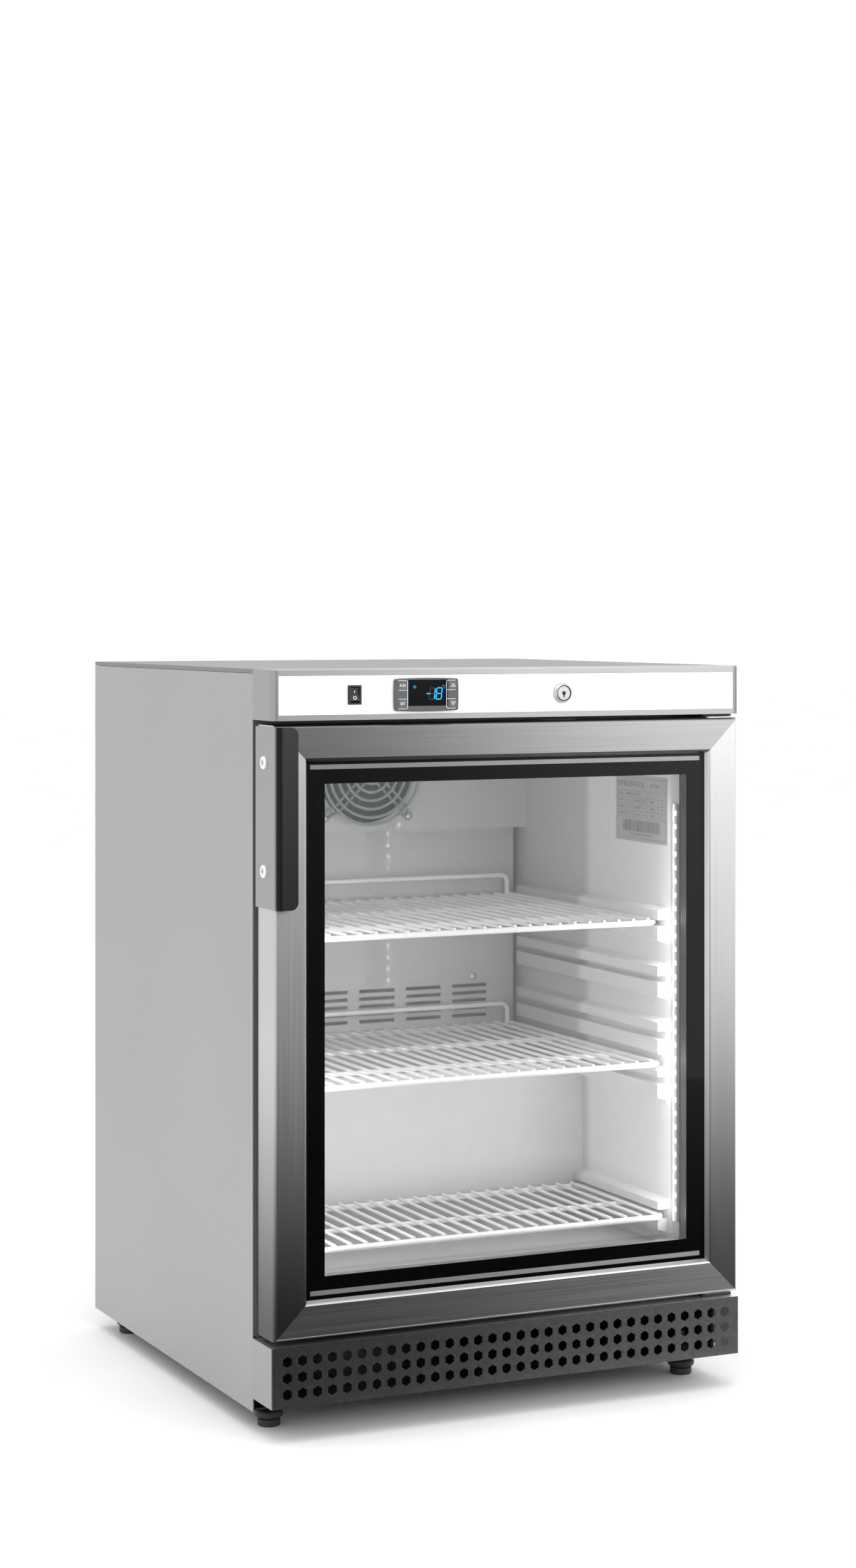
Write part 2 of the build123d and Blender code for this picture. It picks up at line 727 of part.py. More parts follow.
def wire_shelf(rod_z, first_y, cross_steps, with_stop):
    """A coated wire shelf: frame rod, cross rods and fore-and-aft wires on top."""
    last_y = first_y + cross_steps[-1]
    side_rod = shelf_half - rod_r
    with BuildPart() as shelf:
        with BuildLine() as half_loop:
            FilletPolyline(
                (0, first_y, rod_z),
                (side_rod, first_y, rod_z),
                (side_rod, last_y, rod_z),
                (0, last_y, rod_z),
                radius=12,
            )
        with BuildSketch(Plane(origin=(0, first_y, rod_z), z_dir=(1, 0, 0))) as rod_section:
            Circle(rod_r)
        sweep(rod_section.sketch, path=half_loop.wires()[0])
        mirror(about=Plane.YZ)
        for step in cross_steps[1:-1]:
            bar_x(first_y + step, rod_z, 2.8, -side_rod, side_rod)
        for index in range(wire_count):
            x = (index - (wire_count - 1) / 2) * wire_pitch
            bar_y(x, rod_z + rod_r + 0.8, wire_r, first_y - 1.5, last_y + 1.5)
        if with_stop:
            stop_y = last_y - 4
            stop_low = rod_z + rod_r + stop_seat
            with BuildLine() as stop_path:
                FilletPolyline(
                    (-stop_x, stop_y, stop_low),
                    (-stop_x, stop_y, rod_z + stop_height),
                    (stop_x, stop_y, rod_z + stop_height),
                    (stop_x, stop_y, stop_low),
                    radius=9,
                )
            with BuildSketch(Plane(origin=(-stop_x, stop_y, stop_low), z_dir=(0, 0, 1))) as stop_section:
                Circle(stop_r)
            sweep(stop_section.sketch, path=stop_path.wires()[0])
    return shelf


shelf_places = (
    ("top", 546.2, front + 100.0, (0, 88, 236, 374), True),
    ("middle", 375.7, front + 91.0, (0, 92, 244, 382), True),
    ("bottom", 192.4, front + 83.0, (0, 94, 214), False),
)
for name, rod_z, first_y, cross_steps, with_stop in shelf_places:
    shelf = wire_shelf(rod_z, first_y, cross_steps, with_stop)
    save(shelf, f"shelf_{name}")

# ---------------------------------------------------------------- inside fittings
duct_half = 239.8
vent_w, vent_h = 50.0, 4.5
vent_columns = 6
vent_pitch_x, vent_pitch_z = 66.8, 9.8
vent_x, vent_z = 7.8, 410.4
panel_screw_places = ((180.8, 441.3), (-165.2, 441.3))
with BuildPart() as duct_panel:
    block((-duct_half, duct_half), (duct_front, cavity_back - 0.2), (step_top + 0.5, cover_low - 0.2))
    block(
        (-duct_half + sheet, duct_half - sheet),
        (duct_front + sheet, cavity_back + 1),
        (step_top - 1, cover_low + 1),
        Mode.SUBTRACT,
    )
    with BuildSketch(Plane.XZ.offset(-duct_front)) as vents:
        with Locations((vent_x, vent_z)):
            with GridLocations(vent_pitch_x, vent_pitch_z, vent_columns, 5):
                Rectangle(vent_w, vent_h)
    extrude(vents.sketch, amount=2, both=True, mode=Mode.SUBTRACT)
    for x, z in panel_screw_places:
        bar_y(x, z, screw_r, duct_front - 1, duct_front + 5, Mode.SUBTRACT)
save(duct_panel, "duct_panel")

mouth_r = 66.5
with BuildPart() as evaporator_cover:
    block((-cavity_half + 0.3, cavity_half - 0.3), (cover_front, duct_front), (cover_low, cavity_high - 0.3))
    fillet(evaporator_cover.edges().filter_by(Axis.Y).group_by(Axis.Z)[-1], 6.2)
    block(
        (-cavity_half + 1.3, cavity_half - 1.3),
        (cover_front + sheet, duct_front + 1),
        (cover_low + sheet, cavity_high + 1),
        Mode.SUBTRACT,
    )
    bar_y(fan_x, fan_z, mouth_r, cover_front - 1, cover_front + 3, Mode.SUBTRACT)
save(evaporator_cover, "evaporator_cover")

# Domed wire guard: rings on paired diagonal ribs that bend back to four lugs on the cover.
guard_wire = 2.0
rib_half = 1.6
ring_radii = (67.6, 58.4, 47.6, 36.8, 25.9, 15.1)
ring_y = cover_front - 18.0
rib_y = ring_y + guard_wire + rib_half - 0.6
lug_offset = 58.8
lug_high = 3.0
lug_reach = lug_offset * 2 ** 0.5
leg_middle = (rib_y + cover_front - lug_high / 2) / 2
leg_length = cover_front - rib_y + 0.2
with BuildPart() as fan_guard:
    for radius in ring_radii:
        bar_y(fan_x, fan_z, radius + guard_wire, ring_y - guard_wire, ring_y + guard_wire)
        bar_y(fan_x, fan_z, radius - guard_wire, ring_y - 3, ring_y + 3, Mode.SUBTRACT)
    for turn in (45, 135, 225, 315):
        along = (cos(radians(turn)), sin(radians(turn)))
        for shift in (-4.4, 4.4):
            for reach, y, size in (
                (ring_radii[0] / 2 + 4, rib_y, (ring_radii[0] - 6, 2 * rib_half, 2 * rib_half)),
                (ring_radii[0] + 1, leg_middle, (2 * rib_half, leg_length, 2 * rib_half)),
                (lug_reach - 6, cover_front - lug_high / 2, (20, lug_high, 2 * rib_half)),
            ):
                x = fan_x + reach * along[0] - shift * along[1]
                z = fan_z + reach * along[1] + shift * along[0]
                with Locations(Location((x, y, z), (0, -turn, 0))):
                    Box(*size)
        lug = (fan_x + lug_reach * along[0], fan_z + lug_reach * along[1])
        bar_y(*lug, 5.8, cover_front - lug_high, cover_front)
        bar_y(*lug, 2.6, cover_front - lug_high - 5, cover_front + 1, Mode.SUBTRACT)
save(fan_guard, "fan_guard")

with BuildPart() as panel_screws:
    for x, z in panel_screw_places:
        bar_y(x, z, 5.0, duct_front - 2.2, duct_front)
        bar_y(x, z, screw_r, duct_front, duct_front + 9)
    for side_x in (-1, 1):
        for side_z in (-1, 1):
            x = fan_x + side_x * lug_offset
            z = fan_z + side_z * lug_offset
            bar_y(x, z, 4.2, cover_front - lug_high - 2.2, cover_front - lug_high)
            bar_y(x, z, 2.4, cover_front - lug_high, cover_front - 0.1)
    fillet(panel_screws.faces().filter_by(Axis.Y).group_by(Axis.Y)[0].edges(), 0.9)
save(panel_screws, "panel_screws")


def fan_frame(x, z, y0, y1, bore, frame_half, motor_r):
    """Square fan frame with a motor carried on four struts at its rear."""
    with BuildPart() as frame:
        block((x - frame_half, x + frame_half), (y0, y1), (z - frame_half, z + frame_half))
        fillet(frame.edges().filter_by(Axis.Y), 7)
        bar_y(x, z, bore, y0 - 1, y1 + 1, Mode.SUBTRACT)
        bar_y(x, z, motor_r, y1 - 12, y1)
        for turn in (45, 135):
            with Locations(Location((x, y1 - 3, z), (0, turn, 0))):
                Box(2 * bore + 2, 5, 6)
        bar_y(x, z, 2.5 + running, y0, y1 + 1, Mode.SUBTRACT)
    return frame


def fan_wheel(x, z, y0, y1, tip_r, hub_r, blades):
    """Hub on a shaft, with pitched blades."""
    mid = (y0 + y1) / 2
    with BuildPart() as wheel:
        bar_y(x, z, hub_r, y0, y1)
        fillet(wheel.faces().sort_by(Axis.Y)[0].edges(), 3)
        for index in range(blades):
            turn = index * 360 / blades
            for reach, chord in ((0.30, 22), (0.55, 30), (0.80, 38)):
                span = (tip_r - hub_r) / 3 + 0.6
                radius = hub_r + (reach * 1.22 - 0.2) * (tip_r - hub_r)
                centre = (x + radius * cos(radians(turn)), mid, z + radius * sin(radians(turn)))
                with Locations(Location(centre, (0, -turn, 0))):
                    with Locations(Location((0, 0, 0), (32, 0, 0))):
                        Box(span, 1.8, chord * tip_r / 54)
        bar_y(x, z, 2.5, y1 - 1, y1 + 13)
    return wheel


housing_y = (cover_front + 1.2, cover_front + 40)
fan_housing = fan_frame(fan_x, fan_z, *housing_y, fan_r + 3, 67.5, 20)
save(fan_housing, "fan_housing")
fan_rotor = fan_wheel(fan_x, fan_z, housing_y[0] + 2, housing_y[0] + 24, fan_r, 20, 5)
save(fan_rotor, "fan_rotor")


def finned_coil(x, y, z, fin_count, tube_r, rows, columns):
    """Block of thin fins on round tubes that run along X, with return bends as bars."""
    with BuildPart() as coil:
        pitch = (x[1] - x[0]) / (fin_count - 1)
        for index in range(fin_count):
            fin_x = x[0] + index * pitch
            block((fin_x - 0.4, fin_x + 0.4), y, z)
        row_pitch = (z[1] - z[0]) / rows
        column_pitch = (y[1] - y[0]) / columns
        for row in range(rows):
            tube_z = z[0] + (row + 0.5) * row_pitch
            for column in range(columns):
                tube_y = y[0] + (column + 0.5) * column_pitch
                bar_x(tube_y, tube_z, tube_r, x[0] - 6, x[1] + 6)
            for end_x in (x[0] - 8, x[1] + 6):
                rise = row_pitch / 2 if row < rows - 1 else 0
                block((end_x, end_x + 2), (y[0] + 4, y[1] - 4), (tube_z - tube_r, tube_z + tube_r + rise))
    return coil


evaporator_coil = finned_coil((-200, 200), (duct_front + 8, duct_front + 48), (452, 624), 22, 4, 5, 2)
save(evaporator_coil, "evaporator_coil")

led_x = 246.5
led_y = (front + 58.9, front + 69.5)
led_z = (190.0, 692.0)
with BuildPart() as led_bars:
    for side in (-1, 1):
        block(sorted((side * led_x, side * cavity_half)), led_y, led_z)
    fillet(led_bars.edges().filter_by(Axis.Z).group_by(SortBy.LENGTH)[-1].group_by(Axis.Y)[-1], 1.5)
save(led_bars, "led_bars")

# ---------------------------------------------------------------- cooling machinery
bay_floor = pan_low + frame_sheet
comp_x, comp_y = 130.0, front + 480.0
comp_r = 82.0
comp_low = bay_floor + 14.0
stub_places = ((comp_x - 40, comp_y - 20, 4.0), (comp_x - 20, comp_y + 45, 3.0))
stub_top = 232.0
with BuildPart() as comp_dome:
    bar_z(comp_x, comp_y, comp_r, comp_low + 88, comp_low + 178)
    fillet(comp_dome.faces().sort_by(Axis.Z)[-1].edges(), 52)

with BuildPart() as compressor:
    bar_z(comp_x, comp_y, comp_r - 3, comp_low, comp_low + 84)
    fillet(compressor.faces().sort_by(Axis.Z)[0].edges(), 30)
    bar_z(comp_x, comp_y, comp_r + 2.5, comp_low + 82, comp_low + 90)
    add(comp_dome.part)
    block((comp_x - 95, comp_x + 95), (comp_y - 62, comp_y + 62), (comp_low - 3, comp_low + 1))
    block((comp_x + 70, comp_x + 112), (comp_y - 26, comp_y + 26), (comp_low + 60, comp_low + 120))
    for x, y, r in stub_places:
        bar_z(x, y, r + 1.5, comp_low + 120, stub_top)
    for side_x in (-1, 1):
        for side_y in (-1, 1):
            bar_z(comp_x + side_x * 82, comp_y + side_y * 48, 11, bay_floor, comp_low - 2)
save(compressor, "compressor")

coil_x = (-262.0, -98.0)
coil_y = (front + 372.0, front + 412.0)
coil_z = (42.0, 226.0)
condenser_coil = finned_coil(coil_x, coil_y, coil_z, 20, 4.5, 5, 2)
save(condenser_coil, "condenser_coil")

cond_fan_x, cond_fan_z = -180.0, 134.0
cond_y = (coil_y[1] + 4, coil_y[1] + 44)
condenser_fan_frame = fan_frame(cond_fan_x, cond_fan_z, *cond_y, 75, 80, 26)
save(condenser_fan_frame, "condenser_fan_frame")
condenser_fan_rotor = fan_wheel(cond_fan_x, cond_fan_z, cond_y[0] + 2, cond_y[0] + 25, 71, 26, 5)
save(condenser_fan_rotor, "condenser_fan_rotor")

# Copper lines: hot gas to the condenser, and cold gas down from the compartment.
with BuildPart() as refrigerant_pipes:
    hot = stub_places[1]
    with BuildLine() as hot_path:
        FilletPolyline(
            (hot[0], hot[1], stub_top),
            (hot[0], hot[1], 262),
            (-60, front + 470, 262),
            (-60, front + 392, 248),
            (-60, front + 392, 190),
            (coil_x[1] + 8, front + 392, 190),
            radius=16,
        )
    with BuildSketch(Plane(origin=(hot[0], hot[1], stub_top), z_dir=(0, 0, 1))) as hot_section:
        Circle(hot[2])
    sweep(hot_section.sketch, path=hot_path.wires()[0])
    cold = stub_places[0]
    bar_z(cold[0], cold[1], cold[2], stub_top, bay_top - frame_sheet)
save(refrigerant_pipes, "refrigerant_pipes")

grille_z = (pan_low + frame_sheet, bay_top - 0.4)
gland_x, gland_z = 235.0, 62.0
gland_r = 8.0
with BuildPart() as rear_grille:
    block((-frame_x, frame_x), (back - sheet, back), grille_z)
    with BuildSketch(Plane.XZ.offset(-back)) as slots:
        with Locations((-120, 165), (120, 165)):
            with GridLocations(95, 12, 2, 15):
                SlotOverall(80, 5)
    extrude(slots.sketch, amount=3, both=True, mode=Mode.SUBTRACT)
    bar_y(gland_x, gland_z, gland_r, back - 3, back + 3, Mode.SUBTRACT)
save(rear_grille, "rear_grille")

with BuildPart() as cable_gland:
    bar_y(gland_x, gland_z, gland_r, back - 14, back)
    bar_y(gland_x, gland_z, 12, back, back + 2)
    bar_y(gland_x, gland_z, 11, back - 8, back - sheet)
    bar_y(gland_x, gland_z, 4, back - 16, back + 4, Mode.SUBTRACT)
save(cable_gland, "cable_gland")
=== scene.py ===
from math import cos, pi, radians, sin, tau

import bmesh
import bpy
from mathutils import Matrix, Vector
from mathutils.bvhtree import BVHTree


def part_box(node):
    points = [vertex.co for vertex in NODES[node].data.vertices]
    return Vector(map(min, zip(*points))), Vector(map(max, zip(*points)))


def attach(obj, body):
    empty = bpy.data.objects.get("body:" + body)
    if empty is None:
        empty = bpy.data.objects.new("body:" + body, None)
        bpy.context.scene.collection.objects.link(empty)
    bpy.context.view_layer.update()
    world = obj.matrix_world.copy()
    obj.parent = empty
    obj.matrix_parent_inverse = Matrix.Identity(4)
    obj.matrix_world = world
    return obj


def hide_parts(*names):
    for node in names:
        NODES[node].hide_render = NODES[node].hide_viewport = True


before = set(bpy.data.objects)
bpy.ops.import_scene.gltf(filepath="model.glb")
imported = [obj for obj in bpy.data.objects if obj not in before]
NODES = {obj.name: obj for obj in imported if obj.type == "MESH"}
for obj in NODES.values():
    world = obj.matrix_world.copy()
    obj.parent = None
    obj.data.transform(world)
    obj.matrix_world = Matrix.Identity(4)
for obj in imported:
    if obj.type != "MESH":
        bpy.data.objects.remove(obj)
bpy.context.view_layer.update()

MM = 0.001
PRINT_THICK = 0.12 * MM  # printed lines and lettering stand this proud
INWARD = Vector((0, 1, 0))  # from the front into the object


# ------------------------------------------------------------------ mesh helpers
def box_of(node):
    low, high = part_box(node)
    return Vector(low), Vector(high)


def middle(node):
    low, high = box_of(node)
    return (low + high) / 2


def tree_of(node):
    """Search tree of a CAD node's mesh, for finding its surface."""
    data = NODES[node].data
    return BVHTree.FromPolygons(
        [v.co.copy() for v in data.vertices], [tuple(p.vertices) for p in data.polygons]
    )


def front_hit(tree, x, z):
    """Y of the surface first met at x, z from the front, or None."""
    hit = tree.ray_cast(Vector((x, -1.0, z)), INWARD)[0]
    return hit.y if hit else None


def make(name, bm, material, body, smooth=35, replaced=()):
    """Turn a bmesh into a finished piece that rides on a body."""
    bmesh.ops.remove_doubles(bm, verts=bm.verts, dist=1e-7)
    bmesh.ops.recalc_face_normals(bm, faces=bm.faces)
    mesh = bpy.data.meshes.new(name)
    bm.to_mesh(mesh)
    bm.free()
    mesh.materials.append(material)
    mesh.shade_smooth()
    mesh.set_sharp_from_angle(angle=radians(smooth))
    obj = bpy.data.objects.new(name, mesh)
    bpy.context.scene.collection.objects.link(obj)
    if body:
        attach(obj, body)
    if replaced:
        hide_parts(*replaced)
    return obj


def add_box(bm, low, high, bevel=0.0, steps=2, turn=None):
    """A bevelled box between two corners, turned about its own middle if asked."""
    low, high = Vector(low), Vector(high)
    size = high - low
    place = Matrix.Translation((low + high) / 2)
    if turn is not None:
        place = place @ turn
    made = bmesh.ops.create_cube(bm, size=1.0, matrix=place @ Matrix.Diagonal((*size, 1.0)))
    if bevel:
        edges = list({e for v in made["verts"] for e in v.link_edges})
        bmesh.ops.bevel(
            bm, geom=edges, offset=bevel, segments=steps, profile=0.5, affect="EDGES", clamp_overlap=True
        )


def round_path(points, radius, closed=False, steps=6):
    """Replace each corner of a polyline with an arc, as a list of points."""
    points = [Vector(p) for p in points]
    count = len(points)
    out = []
    for i, here in enumerate(points):
        if not closed and i in (0, count - 1):
            out.append(here)
            continue
        to_last = points[i - 1] - here
        to_next = points[(i + 1) % count] - here
        reach = min(radius, to_last.length * 0.49, to_next.length * 0.49)
        start = here + to_last.normalized() * reach
        end = here + to_next.normalized() * reach
        for k in range(steps + 1):
            t = k / steps
            out.append(start.lerp(here, t).lerp(here.lerp(end, t), t))
    return out


def add_tube(bm, path, radius, closed=False, sides=12):
    """Sweep a circle along a path with parallel frames and rounded-off ends."""
    path = [Vector(p) for p in path]
    count = len(path)
    rings = []
    normal = None
    for i, here in enumerate(path):
        if closed:
            ahead = (path[(i + 1) % count] - path[i - 1]).normalized()
        else:
            ahead = (path[min(i + 1, count - 1)] - path[max(i - 1, 0)]).normalized()
        if normal is None:
            pick = Vector((0, 0, 1)) if abs(ahead.z) < 0.9 else Vector((0, 1, 0))
            normal = ahead.cross(pick).normalized()
        normal = (normal - ahead * normal.dot(ahead)).normalized()
        side = ahead.cross(normal)
        rings.append((here, normal.copy(), side, ahead))
    body = [(h, n, s) for h, n, s, a in rings]
    if not closed:
        h, n, s, a = rings[0]
        body.insert(0, (h - a * radius * 0.3, n * 0.75, s * 0.75))
        h, n, s, a = rings[-1]
        body.append((h + a * radius * 0.3, n * 0.75, s * 0.75))
    loops = []
    for here, n, s in body:
        ring = []
        for k in range(sides):
            turn = tau * k / sides
            ring.append(bm.verts.new(here + (n * cos(turn) + s * sin(turn)) * radius))
        loops.append(ring)
    pairs = list(zip(loops, loops[1:]))
    if closed:
        pairs.append((loops[-1], loops[0]))
    for one, two in pairs:
        shift = 0
        if closed and one is loops[-1]:
            shift = min(range(sides), key=lambda k: (two[k].co - one[0].co).length)
        for k in range(sides):
            bm.faces.new(
                (one[k], one[(k + 1) % sides], two[(k + 1 + shift) % sides], two[(k + shift) % sides])
            )
    if not closed:
        bm.faces.new(loops[0])
        bm.faces.new(loops[-1])


def add_lathe(bm, profile, centre, axis, sides=48):
    """Revolve (radius, height) pairs about an axis through centre; ends on the axis close."""
    centre = Vector(centre)
    axis = Vector(axis).normalized()
    pick = Vector((0, 0, 1)) if abs(axis.z) < 0.9 else Vector((0, 1, 0))
    u = axis.cross(pick).normalized()
    v = axis.cross(u)
    loops = []
    for radius, height in profile:
        if radius < 1e-7:
            loops.append([bm.verts.new(centre + axis * height)])
            continue
        ring = []
        for k in range(sides):
            turn = tau * k / sides
            ring.append(bm.verts.new(centre + axis * height + (u * cos(turn) + v * sin(turn)) * radius))
        loops.append(ring)
    for one, two in zip(loops, loops[1:]):
        if len(one) == 1 and len(two) == 1:
            continue
        for k in range(sides):
            nxt = (k + 1) % sides
            if len(one) == 1:
                bm.faces.new((one[0], two[nxt], two[k]))
            elif len(two) == 1:
                bm.faces.new((one[k], one[nxt], two[0]))
            else:
                bm.faces.new((one[k], one[nxt], two[nxt], two[k]))


def add_ribbon(bm, points, width, place, thick=PRINT_THICK, closed=False):
    """A flat printed line: points are (across, up), place maps them to the surface."""
    points = [Vector((*p, 0)) for p in points]
    count = len(points)
    lefts, rights = [], []
    for i, here in enumerate(points):
        before = points[i - 1] if (closed or i) else None
        after = points[(i + 1) % count] if (closed or i < count - 1) else None
        one = (here - before).normalized() if before is not None else None
        two = (after - here).normalized() if after is not None else None
        one = one or two
        two = two or one
        n1 = Vector((-one.y, one.x, 0))
        n2 = Vector((-two.y, two.x, 0))
        bend = (n1 + n2).normalized()
        size = width / 2 / max(0.4, bend.dot(n1))
        lefts.append(here + bend * size)
        rights.append(here - bend * size)
    rows = []
    for a, b in zip(lefts, rights):
        row = []
        for p in (a, b):
            row.append(bm.verts.new(place @ Vector((p.x, p.y, 0))))
            row.append(bm.verts.new(place @ Vector((p.x, p.y, thick))))
        rows.append(row)
    pairs = list(zip(rows, rows[1:]))
    if closed:
        pairs.append((rows[-1], rows[0]))
    for one, two in pairs:
        for a, b in ((1, 3), (3, 2), (2, 0), (0, 1)):
            bm.faces.new((one[a], one[b], two[b], two[a]))
    if not closed:
        for row in (rows[0], rows[-1]):
            bm.faces.new((row[0], row[1], row[3], row[2]))


def add_plate(bm, outline, place, thick=PRINT_THICK):
    """A flat printed or cut shape from one convex outline of (across, up) points."""
    low = [bm.verts.new(place @ Vector((x, y, 0))) for x, y in outline]
    high = [bm.verts.new(place @ Vector((x, y, thick))) for x, y in outline]
    bm.faces.new(low)
    bm.faces.new(high)
    count = len(low)
    for i in range(count):
        j = (i + 1) % count
        bm.faces.new((low[i], low[j], high[j], high[i]))


def add_text(bm, words, size, at, place, thick=PRINT_THICK, align="CENTER"):
    """Plain lettering as thin printed mesh."""
    curve = bpy.data.curves.new("words", "FONT")
    curve.body = words
    curve.size = size
    curve.align_x = align
    curve.align_y = "CENTER"
    curve.extrude = thick / 2
    curve.resolution_u = 3
    holder = bpy.data.objects.new("words", curve)
    bpy.context.scene.collection.objects.link(holder)
    bpy.context.view_layer.update()
    mesh = bpy.data.meshes.new_from_object(holder.evaluated_get(bpy.context.evaluated_depsgraph_get()))
    mesh.transform(place @ Matrix.Translation((at[0], at[1], thick / 2)))
    bm.from_mesh(mesh)
    bpy.data.objects.remove(holder)
    bpy.data.curves.remove(curve)
    bpy.data.meshes.remove(mesh)


def facing_front(x, y, z):
    """Place for print on a face that looks towards -Y: across is +X, up is +Z."""
    return Matrix.Translation((x, y, z)) @ Matrix.Rotation(pi / 2, 4, "X")


# ------------------------------------------------------------------ materials
COAT_ROUGH = 0.035
GLASS_IOR = 1.45


def surface(
    name,
    colour,
    rough=0.4,
    metal=0.0,
    grain=(60, 60, 60),
    vary=0.04,
    rough_vary=0.05,
    bump=0.0,
    bump_depth=0.0002,
    cloud=3.0,
    cloud_vary=0.03,
    coat=0.0,
    spec=0.5,
    detail=3.0,
    gradient=(),
):
    """Principled material: fine grain and broad clouding drive colour, roughness and bump."""
    mat = bpy.data.materials.new(name)
    mat.use_nodes = True
    tree = mat.node_tree
    nodes, links = tree.nodes, tree.links
    shader = nodes["Principled BSDF"]
    shader.inputs["Metallic"].default_value = metal
    shader.inputs["Coat Weight"].default_value = coat
    shader.inputs["Coat Roughness"].default_value = COAT_ROUGH
    shader.inputs["Specular IOR Level"].default_value = spec
    place = nodes.new("ShaderNodeTexCoord")
    stretch = nodes.new("ShaderNodeMapping")
    stretch.inputs["Scale"].default_value = grain
    links.new(place.outputs["Object"], stretch.inputs["Vector"])
    fine = nodes.new("ShaderNodeTexNoise")
    fine.inputs["Scale"].default_value = 1.0
    fine.inputs["Detail"].default_value = detail
    links.new(stretch.outputs["Vector"], fine.inputs["Vector"])
    broad = nodes.new("ShaderNodeTexNoise")
    broad.inputs["Scale"].default_value = cloud
    broad.inputs["Detail"].default_value = 2.0
    links.new(place.outputs["Object"], broad.inputs["Vector"])

    def spread(source, low, high):
        node = nodes.new("ShaderNodeMapRange")
        node.inputs["From Min"].default_value = 0.25
        node.inputs["From Max"].default_value = 0.75
        node.inputs["To Min"].default_value = low
        node.inputs["To Max"].default_value = high
        links.new(source, node.inputs["Value"])
        return node.outputs["Result"]

    fine_gain = spread(fine.outputs["Fac"], 1 - vary, 1 + vary)
    broad_gain = spread(broad.outputs["Fac"], 1 - cloud_vary, 1 + cloud_vary)
    both = nodes.new("ShaderNodeMath")
    both.operation = "MULTIPLY"
    links.new(fine_gain, both.inputs[0])
    links.new(broad_gain, both.inputs[1])
    gain = both.outputs["Value"]
    # Each gradient scales the colour along one object axis; every use in this script is painted shade or
    # painted reflection.
    for along, stops in gradient:
        split = nodes.new("ShaderNodeSeparateXYZ")
        links.new(place.outputs["Object"], split.inputs["Vector"])
        span = nodes.new("ShaderNodeMapRange")
        span.interpolation_type = "SMOOTHSTEP"
        for socket, number in zip(("From Min", "From Max", "To Min", "To Max"), stops):
            span.inputs[socket].default_value = number
        links.new(split.outputs[along], span.inputs["Value"])
        third = nodes.new("ShaderNodeMath")
        third.operation = "MULTIPLY"
        links.new(gain, third.inputs[0])
        links.new(span.outputs["Result"], third.inputs[1])
        gain = third.outputs["Value"]
    tint = nodes.new("ShaderNodeVectorMath")
    tint.operation = "SCALE"
    tint.inputs[0].default_value = colour
    links.new(gain, tint.inputs["Scale"])
    links.new(tint.outputs["Vector"], shader.inputs["Base Color"])
    rough_out = spread(fine.outputs["Fac"], max(0.02, rough - rough_vary), rough + rough_vary)
    links.new(rough_out, shader.inputs["Roughness"])
    if bump:
        raised = nodes.new("ShaderNodeBump")
        raised.inputs["Strength"].default_value = bump
        raised.inputs["Distance"].default_value = bump_depth
        links.new(fine.outputs["Fac"], raised.inputs["Height"])
        links.new(raised.outputs["Normal"], shader.inputs["Normal"])
    return mat


def glowing(name, colour, strength, body=(0.85, 0.85, 0.85)):
    """Lit plastic: a light of its own over a faintly mottled body."""
    mat = surface(name, body, 0.4)
    shader = mat.node_tree.nodes["Principled BSDF"]
    shader.inputs["Emission Color"].default_value = (*colour, 1)
    shader.inputs["Emission Strength"].default_value = strength
    mat.cycles.emission_sampling = "NONE"
    return mat


def clear_glass(name, tint, rough=0.0):
    """Glass that lets lamps light what is behind it."""
    mat = surface(name, tint, 0.02, rough_vary=0.01, vary=0.01, cloud_vary=0.01)
    nodes, links = mat.node_tree.nodes, mat.node_tree.links
    shader = nodes["Principled BSDF"]
    shader.inputs["Transmission Weight"].default_value = 1.0
    shader.inputs["IOR"].default_value = GLASS_IOR
    path = nodes.new("ShaderNodeLightPath")
    thin = nodes.new("ShaderNodeBsdfTransparent")
    thin.inputs["Color"].default_value = (*tint, 1)
    blend = nodes.new("ShaderNodeMixShader")
    links.new(path.outputs["Is Shadow Ray"], blend.inputs["Fac"])
    links.new(shader.outputs["BSDF"], blend.inputs[1])
    links.new(thin.outputs["BSDF"], blend.inputs[2])
    links.new(blend.outputs["Shader"], nodes["Material Output"].inputs["Surface"])
    return mat


def brushed(name, along, tone, rough=0.30, vary=0.05, gradient=()):
    """Brushed steel with its scratches lying along one axis."""
    grain = [1100.0, 1100.0, 1100.0]
    grain["XYZ".index(along)] = 4.0
    return surface(
        name, (tone, tone, tone * 1.004), rough, 1.0, tuple(grain), vary, 0.045, 0.12, 0.00003,
        cloud=4.0, cloud_vary=0.04, detail=4.0, gradient=gradient,
    )


casing = surface(
    "casing_coat", (0.375, 0.375, 0.38), 0.42, 0.55, (4, 4, 500), 0.025, 0.05, 0.05, 0.00003
)
# Same coat as the side panels at a darker tone: painted shade standing in for how the overhead light falls
# on the top.
shaded_casing_top = surface(
    "casing_coat_top_painted_shade", (0.21, 0.21, 0.213), 0.42, 0.55, (4, 500, 4), 0.025, 0.05, 0.05, 0.00003
)
galvanised = surface(
    "galvanised", (0.50, 0.51, 0.52), 0.45, 0.8, (70, 70, 70), 0.14, 0.10, 0.1, 0.00003, detail=1.0
)
# The base frame is galvanised sheet; it is coloured near black here as painted shade for the dark space
# behind the plinth and under the cabinet.
base_painted_shade = surface("base_painted_shade", (0.012, 0.012, 0.013), 0.6, 0.2, (90, 90, 90), 0.12, 0.08, 0.1, 0.00004)
# Dark grey on the front collar is painted shade for the gap behind the door's gasket.
collar_painted_shade = surface(
    "collar_painted_shade", (0.16, 0.16, 0.163), 0.45, 0.4, (60, 60, 60), 0.04, 0.05, 0.05, 0.00003
)
# Door frame: one brushed steel in four copies whose tones and colour ramps are painted reflection; the
# bottom rail is dark at the left and lighter to the right.
door_steel_bottom_painted_reflection = brushed("steel_along_x_painted_reflection", "X", 0.58, 0.34, 0.09, gradient=(("X", (-0.30, 0.30, 0.72, 1.35)),))
